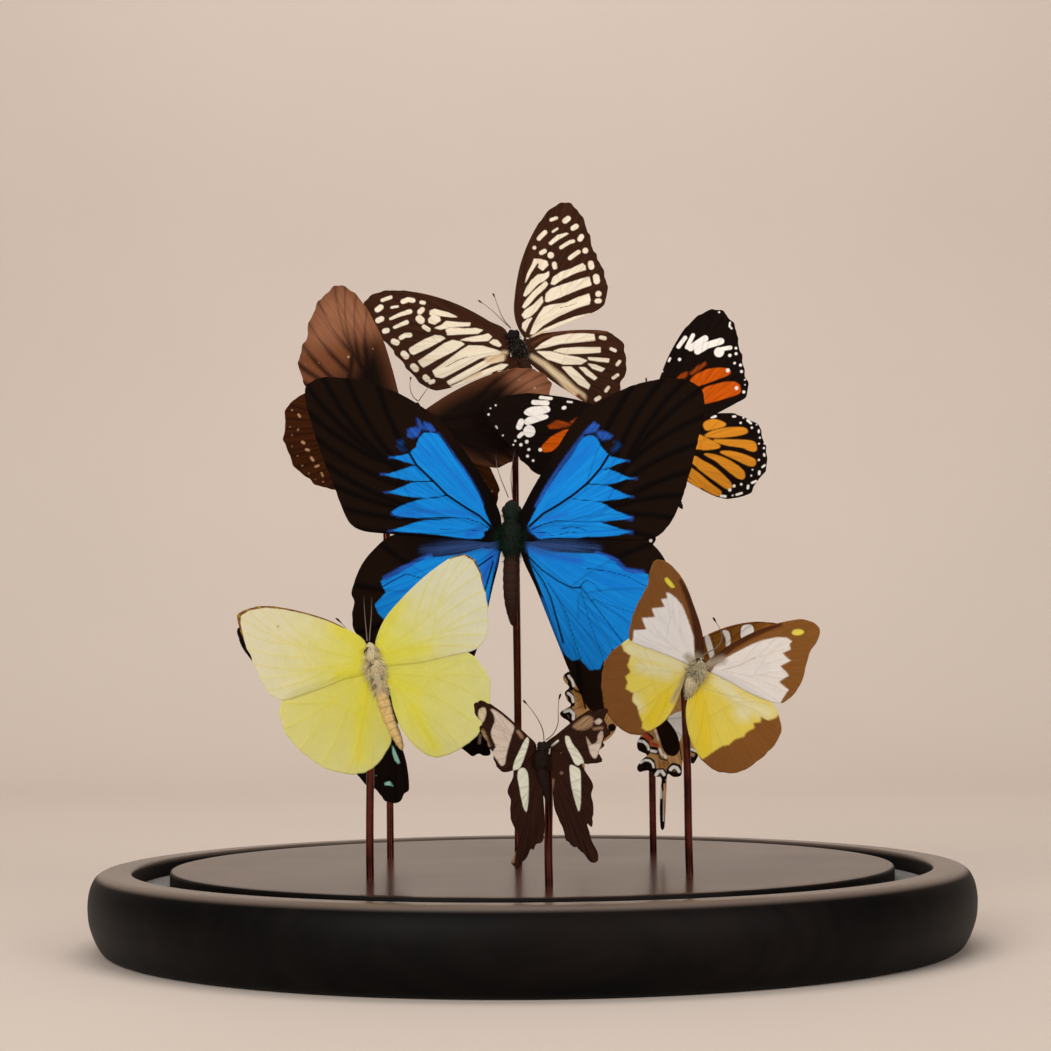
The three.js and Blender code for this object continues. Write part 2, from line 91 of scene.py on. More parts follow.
# Camera: place in metres, pitch, yaw and roll in degrees, focal length for a 36 mm sensor.
CAMERA_PLACE = (0, -0.6613, 0.07525)
CAMERA_TURNS = (3.785, -0.091, 0.494)
CAMERA_SENSOR, CAMERA_LENS = 36.0, 78.54

# Where a forewing's veins end: as shares of the way to the tip, and of the way from there to the corner.
FRONT_ENDS = (0.72, 0.84, 0.93, 1)
OUTER_ENDS = (0.18, 0.36, 0.54, 0.7, 0.86, 1.03)

# Times that a cut wing's stray squares are taken off, and that the squares near its edge are evened.
TRIM_ROUNDS, EVEN_ROUNDS = 3, 4

# Lights: name, place, what it points at, size in metres and power in watts.
WARM_WHITE = (1.0, 0.96, 0.92)
ROOM_STRENGTH = 0.12
LIGHTS = (
    ("key_softbox", (-0.62, -1.15, 0.62), (0, 0, 0.12), 0.8, 13.5),
    ("fill_softbox", (0.85, -1.1, 0.5), (0, 0, 0.12), 0.7, 8.0),
    ("back_wash", (0.0, 0.35, 1.7), (0, 1.3, 0.6), 1.4, 17.0),
)

# Rod feet on the disc, the x of the upper end and the height of the upper end.
RODS = {
    "rod_front_middle": (4.3, -70.8, 4.3, 55.5),
    "rod_front_left": (-43.4, -42.3, -43.4, 78.5),
    "rod_front_right": (42.6, -36.2, 41.8, 74.5),
    "rod_rear_left": (-42.2, 27.7, -43, 138),
    "rod_rear_right": (36.8, 39, 36.8, 144.5),
    "rod_middle_low": (-3.9, 0, -3.9, 116),
    "rod_middle_high": (-4.2, 78, -4.2, 181.5),
}

# Outer side of the base, from foot to top edge, as radius,height.
BASE_SIDE = (
    "119,0 120.4,0.35 121.6,1.4 123.2,4.3 124.6,8.4 125,12.3 124.9,15.2 "
    "124.3,18 123.1,20.4 121.3,21.7 119.4,22"
)

# at: middle of the thorax. tilt: how far a wing comes back per millimetre sideways and upwards.
# body: points from head to tail as x,depth,z,radius. Wings: outlines as x,z.
BUTTERFLIES = {
    "zebra": {
        "at": (-3.5, 74.8, 181.5),
        "tilt": {"left": (0.28, 0.25), "right": (0.14, 0.13)},
        "body": (
            "-2.1,0,6,0.8 -1.5,0,4.6,1.7 -0.8,0,2.8,2.3 0.3,0,0,2.7 1.6,0,-3.2,2.3 3,0.2,-6.5,1.9 "
            "5,0.6,-11.5,1.5 6.2,0.8,-14.5,0.6"
        ),
        "forewing_left": (
            "-3,5 -9,9 -16,13 -23,16 -31,18.3 -39,19.3 -45,18.7 -49,16 -49.3,12 -47,7 -42.5,2 "
            "-38,-3.5 -34,-8.5 -30.5,-12 -26.5,-13.6 -21,-12.7 -14,-10.3 -7,-7.5 -2.5,-6"
        ),
        "forewing_right": (
            "0.3,7 -0.8,12 -0.4,18 0.8,25 2.6,31 5.2,37 9,43 12.5,46.4 16.5,47.7 19.5,46.2 "
            "22,42.5 24,37 25.5,31.5 28,26.5 29.7,20.5 29.2,15.5 27,12.5 22,10.2 14,7 7,4.2 3,3"
        ),
        "hindwing_left": (
            "-3,-3 -8,-8 -11,-14 -12,-20 -10.5,-26 -6,-28.5 -1,-27 2,-22 3,-14 2,-7 0,-4"
        ),
        "hindwing_right": (
            "2.5,3.5 9,4.8 17,5.6 25,5.7 30,5 32.5,3.4 34.8,1.2 35.1,-1 35.9,-3.5 35.4,-6.3 "
            "35.6,-9 33.9,-11.5 33.3,-14 30.5,-16.8 27,-19 23.5,-19.3 20.5,-17 15.5,-13.8 10,-9.8 "
            "5.5,-6.2 3,-3"
        ),
    },
    "crow": {
        "at": (-36, 24.5, 151),
        "tilt": {"left": (0.15, 0.05), "right": (0.12, 0.05)},
        "body": (
            "2.9,0,7,0.7 2.3,0,5.5,1.5 1.3,0,3.2,2.1 0,0,0,2.5 -1.8,0,-3.6,2.2 -4,0.3,-9,2 "
            "-6.6,0.5,-15.5,1.6 -8.2,0.6,-19.5,0.6"
        ),
        "forewing_left": (
            "-2,5 -3.2,11 -5,18 -7.3,25.5 -10.3,32 -13.5,37.5 -17,41.3 -21,43 -24.5,41 -27.5,37.5 "
            "-30,32 -31,27 -33,22 -33.2,17.5 -31.3,12.5 -29,7 -22,4 -12,1.5 -4,0"
        ),
        "forewing_right": (
            "3,3 9,7.5 15,11 22,14.3 29,16.6 35,17.3 40,16 43,13 43,9 41.5,3 38.5,-3 35.5,-8 "
            "32,-10.8 26,-13 18,-11 9,-6 2,-1"
        ),
        "hindwing_left": (
            "-3,3 -14,8 -24,10.5 -31,10.2 -35,8.2 -37.2,5 -37.7,0 -37.6,-5 -36,-9.5 -33.5,-13.5 "
            "-29.5,-16.8 -25,-19 -20,-19.5 -13,-17 -6,-10 -2,-4"
        ),
        "hindwing_right": (
            "3,-1 12,-5 20,-9.5 24.5,-13 26.6,-17 27.3,-21 26,-26 22,-30 16,-31 9,-27 3,-18 0,-8"
        ),
    },
    "tiger": {
        "at": (37, 35.8, 144),
        "tilt": {"left": (0.34, 0.12), "right": (-0.05, 0.12)},
        "body": (
            "-3.8,0,8.3,0.7 -3,0,6.6,1.5 -1.8,0,4,2 0,0,0,2.5 2,0,-3.8,2.1 4.6,0.1,-8.6,1.8 "
            "7.6,0.2,-14,1.6 9.8,0.2,-18,0.7"
        ),
        "forewing_left": (
            "-1,6 -8,10.5 -15,13.5 -22,15.8 -30,17.3 -38,18 -45,17 -49.5,14.8 -50.5,11.5 -47.8,7 "
            "-44.3,3 -40.8,-1.2 -37.5,-4.5 -34,-7.3 -28,-7 -18,-4.5 -8,-2 -2,-1"
        ),
        "forewing_right": (
            "0,4 0.5,11 2,18 4.2,24.5 7,30.8 10.5,36.5 14.5,40.8 18.5,43.1 22,43.3 25,41 27.2,37 "
            "27.7,33 28.8,28.5 29.6,24 30.6,20 29.8,16.3 26.5,14.2 21,11.3 13,7 5,1.5"
        ),
        "hindwing_left": (
            "-3,-1 -9,-6 -16,-13 -21,-20 -22,-26 -19,-30 -13,-32 -6,-31 0,-29.5 1.6,-27.5 1,-24 "
            "2,-15 1,-6"
        ),
        "hindwing_right": (
            "2,1 8,5.5 14.5,8.7 19,11 25,11.3 30,9.8 34,7 35,3.5 35.8,0 36.3,-4 35,-7.5 "
            "32.8,-10.5 30,-14 25.5,-15.1 20.5,-14.6 15,-11.8 10.5,-9.2 6,-7 2,-3"
        ),
    },
    "blue": {
        "at": (-5.5, -3.2, 114.5),
        "tilt": {"left": (0.3, -0.08), "right": (-0.3, -0.08)},
        "body": (
            "0.5,0,11.8,0.9 0.5,0,10.2,2 0.5,0,8,2.4 0.4,0,3.5,3.2 0.4,0,-1,3.2 0.4,0,-5.5,2.5 "
            "0.2,0,-12,2.4 0.3,0,-19,2.1 0.5,0,-24.5,0.8"
        ),
        "forewing_left": (
            "-2.5,6 -5,13 -9,20 -14,27.5 -19,34 -24.5,38.5 -32,43 -40,46 -48,47.6 -54,47.6 "
            "-58.5,45.5 -58.8,41 -57,34 -54.5,26 -51.5,18.5 -48.8,11 -46.2,5.5 -42.5,3.2 -36,2.3 "
            "-26,1.5 -14,0.5 -4,0"
        ),
        "forewing_right": (
            "2.5,6 5,12 9,19 14,27 18.5,34 22.5,38 29,41.7 36,44.7 43,46.3 49,46.5 53.8,45 "
            "56.3,41.5 56.3,36 54.5,28.5 52.2,20 49.8,12 47,6 44,2 40.5,0.2 34,-0.2 24,0.3 12,0.6 "
            "4,0"
        ),
        "hindwing_left": (
            "-3,1.5 -14,2 -26,2.6 -34,1.8 -39,-2 -43,-7 -45.6,-14 -45,-17.5 -45.6,-21 -45,-25.5 "
            "-42,-29 -39,-33 -35,-38 -31,-43 -34.5,-48 -38.5,-54 -38.5,-58 -35.5,-58.5 -33.5,-54 "
            "-30,-48.5 -26,-48.5 -22,-48.8 -18,-46.5 -14,-41 -11,-34.5 -8.8,-28 -6.8,-20.5 -5,-13 "
            "-3,-5"
        ),
        "hindwing_right": (
            "3,1.5 14,2 26,1.8 36,0.9 41,-1.5 44.5,-6 46.5,-12 46,-18 44,-24 41.5,-29 38.5,-34 "
            "35.5,-38.5 33,-42.5 35.5,-46.5 40,-50 44.5,-52 47.3,-56 48,-60 46.3,-62.2 43.8,-60.8 "
            "42.2,-56.5 40.5,-53 36,-50.5 30.5,-48 26.5,-49.5 22.5,-48.8 20,-44.5 17,-38.5 14,-31 "
            "10.5,-22 7,-13 3.5,-5"
        ),
    },
    "yellow": {
        "at": (-42, -45.5, 78),
        "tilt": {"left": (0.3, 0.25), "right": (-0.15, 0.25)},
        "body": (
            "-1.3,0.9,7,0.7 -0.9,0.7,5.6,1.5 -0.4,0.4,3.4,2 0.3,0,0,2.5 1.3,-0.5,-4,2.1 "
            "2.8,-1.2,-9,1.9 4.4,-1.8,-14,1.8 6.6,-2.6,-19,1.6 7.8,-3,-22,0.7"
        ),
        "forewing_left": (
            "-1.8,5.5 -3.3,8.3 -7,10.5 -12,13 -18,15 -24,16.4 -29,17 -33.5,16.3 -36.5,14.7 "
            "-36.3,12.2 -35,8 -33,3.3 -31.2,-1 -29.3,-5 -26.8,-7.6 -23.5,-8.3 -16,-6 -8,-3 -2,-1"
        ),
        "forewing_right": (
            "0.4,5.5 1.2,9.5 3.4,13.8 7,18 11.5,22.5 16,26.3 20.5,29.3 24.3,30.4 27.2,29 "
            "28.8,25.5 30,20.5 30.8,15.5 30.8,10.5 29.5,6.8 26.5,4.4 20,3 13,1.5 6,0.8 2,1"
        ),
        "hindwing_left": (
            "-2,-0.5 -9,-1.8 -17,-4.2 -23.2,-6.8 -25.4,-11 -24.8,-14.5 -22.5,-19 -18.5,-23 "
            "-13.5,-26.5 -8,-28.2 -3.5,-28.2 0,-26.5 2.6,-23.5 4.6,-19.8 4.2,-16.5 2.9,-12.5 1.2,-8 "
            "-0.7,-3"
        ),
        "hindwing_right": (
            "3,1 9,2.6 15,3.6 21,4.6 25.5,4 29,0.8 31,-3 31.3,-7.5 30.3,-12.5 28.2,-17.5 "
            "25,-20.5 21,-22.8 17,-24 13.5,-23 10,-20 7.2,-16 5.3,-11 4.2,-6 3,-3"
        ),
    },
    "pied": {
        "at": (45, -39.4, 77.5),
        "tilt": {"left": (0.4, 0.05), "right": (-0.06, 0.05)},
        "body": (
            "1.3,0.2,2.6,0.7 0.9,0.1,1.2,1.5 0,0,-1,2 -1.3,0,-4,2.5 -2,0.3,-6.2,2 "
            "-2.5,0.7,-7.8,1.3 -2.7,0.9,-8.8,0.6"
        ),
        "forewing_left": (
            "1.5,0.5 2.1,4 1.9,8 0.9,12.5 -0.6,17 -2.2,21.5 -4.2,25.2 -6.5,27.7 -9,29.3 "
            "-11.3,28.8 -12.4,26 -13,22.5 -14.8,19.5 -16.7,15.5 -17.8,11.5 -18.2,8.5 -17,6.8 "
            "-11,4.5 -5,2 -1,0"
        ),
        "forewing_right": (
            "2.4,0.8 4.8,3.2 9,6 14,8.7 19,10.8 24,12.2 28.5,12.8 31.7,12 33.5,10.2 33.2,7.6 "
            "31.5,5 30.2,2 29.2,-1.5 28,-5 26,-7.7 23.3,-9.8 20,-9.5 14,-7 8,-3.5 3,-1"
        ),
        "hindwing_left": (
            "-2,0.6 -7,3.8 -12.5,6.6 -17.3,8.2 -20.3,6.5 -23.3,4.3 -25.2,1 -25.9,-3.5 -25.6,-8 "
            "-24.5,-12 -22,-15.3 -19,-17.6 -16,-18.2 -13,-17.2 -9.5,-15 -6.8,-11.8 -5,-8 -3.5,-4"
        ),
        "hindwing_right": (
            "1.5,-0.2 7,-1.6 13,-4.8 18,-7.8 20.5,-9.9 22.3,-14 22.7,-17.2 21,-20.8 18,-24 14,-27 "
            "9.5,-28.7 5,-28 1.8,-25.8 -0.6,-22.5 -2.4,-18 -3.1,-13 -2.6,-8.5 -1,-5"
        ),
    },
    "dragontail": {
        "at": (3.5, -74, 57),
        "tilt": {"left": (0.22, 0.12), "right": (-0.22, 0.12)},
        "body": (
            "0,0,2,0.5 -0.2,0,1,1.2 -0.6,0,-1,1.8 -1,0,-3.6,2.1 -0.7,0,-6.6,1.7 0,0,-10,1.3 "
            "0.9,0,-14,0.5"
        ),
        "forewing_left": (
            "-2.3,1.3 -4.5,3.6 -7,6 -10,8.8 -13,11 -15.6,12.2 -17.4,11.9 -18,10.5 -17.5,8 "
            "-16.6,5.5 -15.3,2.8 -14,0 -12.8,-3 -11.6,-5.2 -10,-5.8 -8.2,-5.5 -6.5,-5 -5,-3.5 "
            "-2.5,-1"
        ),
        "forewing_right": (
            "0.3,1.5 3,3.6 6,6 9,8.3 11.8,9.8 14.2,9.9 16,8.8 16.3,7 15.6,4.5 14.9,1.8 14.2,-1 "
            "13.2,-3.3 11.8,-4.2 10.2,-3.9 8.3,-4.3 6.3,-3 4,-1 1.5,0"
        ),
        "hindwing_left": (
            "-2,-0.2 -5,-2.4 -7.7,-4.4 -8.2,-7.2 -9.2,-9.3 -9.6,-11 -8.8,-13 -9,-16 -8.5,-19 -7,-22 "
            "-7.3,-25.5 -9,-29.3 -7.3,-30 -5.8,-28 -4,-26 -2.5,-24.5 -0.6,-23.5 -0.2,-18 -0.6,-10 "
            "-1,-4"
        ),
        "hindwing_right": (
            "1.5,0 4.6,-1.4 8.5,-3.2 10.4,-6 12.2,-9.2 11.8,-12 12.3,-15 11.9,-18.3 11.2,-19.3 "
            "10.5,-18.8 11.2,-21.5 12,-24 13.4,-27.2 11.8,-29.3 10.3,-27.5 8.7,-26 7,-25 "
            "5.3,-23.5 4.6,-21 3.3,-17.5 2.2,-14.5 1.8,-8"
        ),
    },
    "swordtail": {
        "at": (36, 35.8, 76.5),
        "tilt": {"left": (0.2, 0), "right": (-0.2, 0)},
        "body": (
            "3.2,0,6.2,0.6 2.6,0,5,1.4 1.4,0,2.7,1.9 0,0,0,2.3 -1.8,0,-3.3,2 -4,0,-7.5,1.6 "
            "-6.6,0,-12.5,0.6"
        ),
        "forewing_left": (
            "-1,2 -4,10 -8,19 -12,27 -16,32.5 -20,34.5 -23.5,32 -24,26 -22.5,18 -19,10 -12,4 "
            "-4,-1"
        ),
        "forewing_right": (
            "2,1 9,6.3 16.5,10.5 22,12.9 28,14.5 34,15 40,14.3 44,12.5 45.5,9.5 44.8,4 42.3,-2 "
            "38.5,-6.5 32,-7.5 22,-5.5 10,-3 2,-2"
        ),
        "hindwing_left": (
            "-2,-1 -9,1.5 -16,2.3 -22,1.2 -25.8,-0.5 -25.8,-2.6 -24.3,-4.4 -25.6,-6 -25,-8.3 "
            "-23.9,-9.9 -27,-11.9 -26.4,-13.5 -24.4,-15 -23.8,-17.5 -22,-19 -21.4,-24 -21.6,-30 "
            "-21.3,-37 -20.2,-37 -19.9,-30 -19.2,-23 -14,-21 -11,-18.5 -9.8,-15.5 -8.5,-10 -5,-5"
        ),
        "hindwing_right": (
            "1.5,-2 8,-3 14,-6 17,-11 17.5,-17 15.5,-22 14.5,-25.5 13,-27.8 11.5,-26.8 9.8,-27.5 "
            "9.3,-31.3 7,-31.8 5.2,-31 4.8,-36 4.5,-42 4,-47.2 3,-47.3 2.7,-42 3,-36 3.3,-32 "
            "1.5,-31.6 -0.5,-29.8 -3.2,-30.2 -4,-28.8 -2.5,-26.5 -1,-25 -3.6,-23.5 -3.8,-21 "
            "-2.8,-19.2 -3,-16 -2.5,-8"
        ),
    },
    "bluebottle": {
        "at": (-42.5, 24.5, 72),
        "tilt": {"left": (0.15, 0), "right": (-0.15, 0)},
        "body": (
            "-3.4,0,6.4,0.6 -2.7,0,5,1.4 -1.5,0,2.8,1.9 0,0,0,2.3 1.5,0,-3,2 3.6,0,-7,1.6 "
            "6,0,-11.5,0.6"
        ),
        "forewing_left": (
            "-3,3 -10,9 -18,14.5 -26,18.5 -34,20.5 -41,20.5 -44.6,18.8 -45,16.5 -43.6,13 "
            "-41.3,9.6 -37,5 -32,0.5 -27,-3 -20,-3.5 -10,-2 -3,-1"
        ),
        "forewing_right": (
            "-1,4 -1,12 1.5,22 5,31 9,37.5 13,40.5 16.5,39.5 18,34 18,27 16.5,20 13,12 8,5 3,1"
        ),
        "hindwing_left": (
            "-3,-3 -7,-8 -10,-14 -11,-20 -10.3,-24 -8,-27 -6.2,-29 -4,-29.6 -2.2,-31.6 -1,-33.3 "
            "1.5,-33.8 3.6,-33.2 4.6,-31.2 6,-30 6,-26.5 5.4,-22 4.3,-18 2,-11 0,-4"
        ),
        "hindwing_right": (
            "2,-1 9,1 17,1 23.5,-1.5 27.5,-5.5 29.3,-10 29.8,-14 30.3,-17.5 30.3,-19.6 28.5,-20.1 "
            "27,-19.4 25,-20.1 23.2,-18.8 20,-16.5 14,-13 8,-8.5 3,-4"
        ),
    },
}

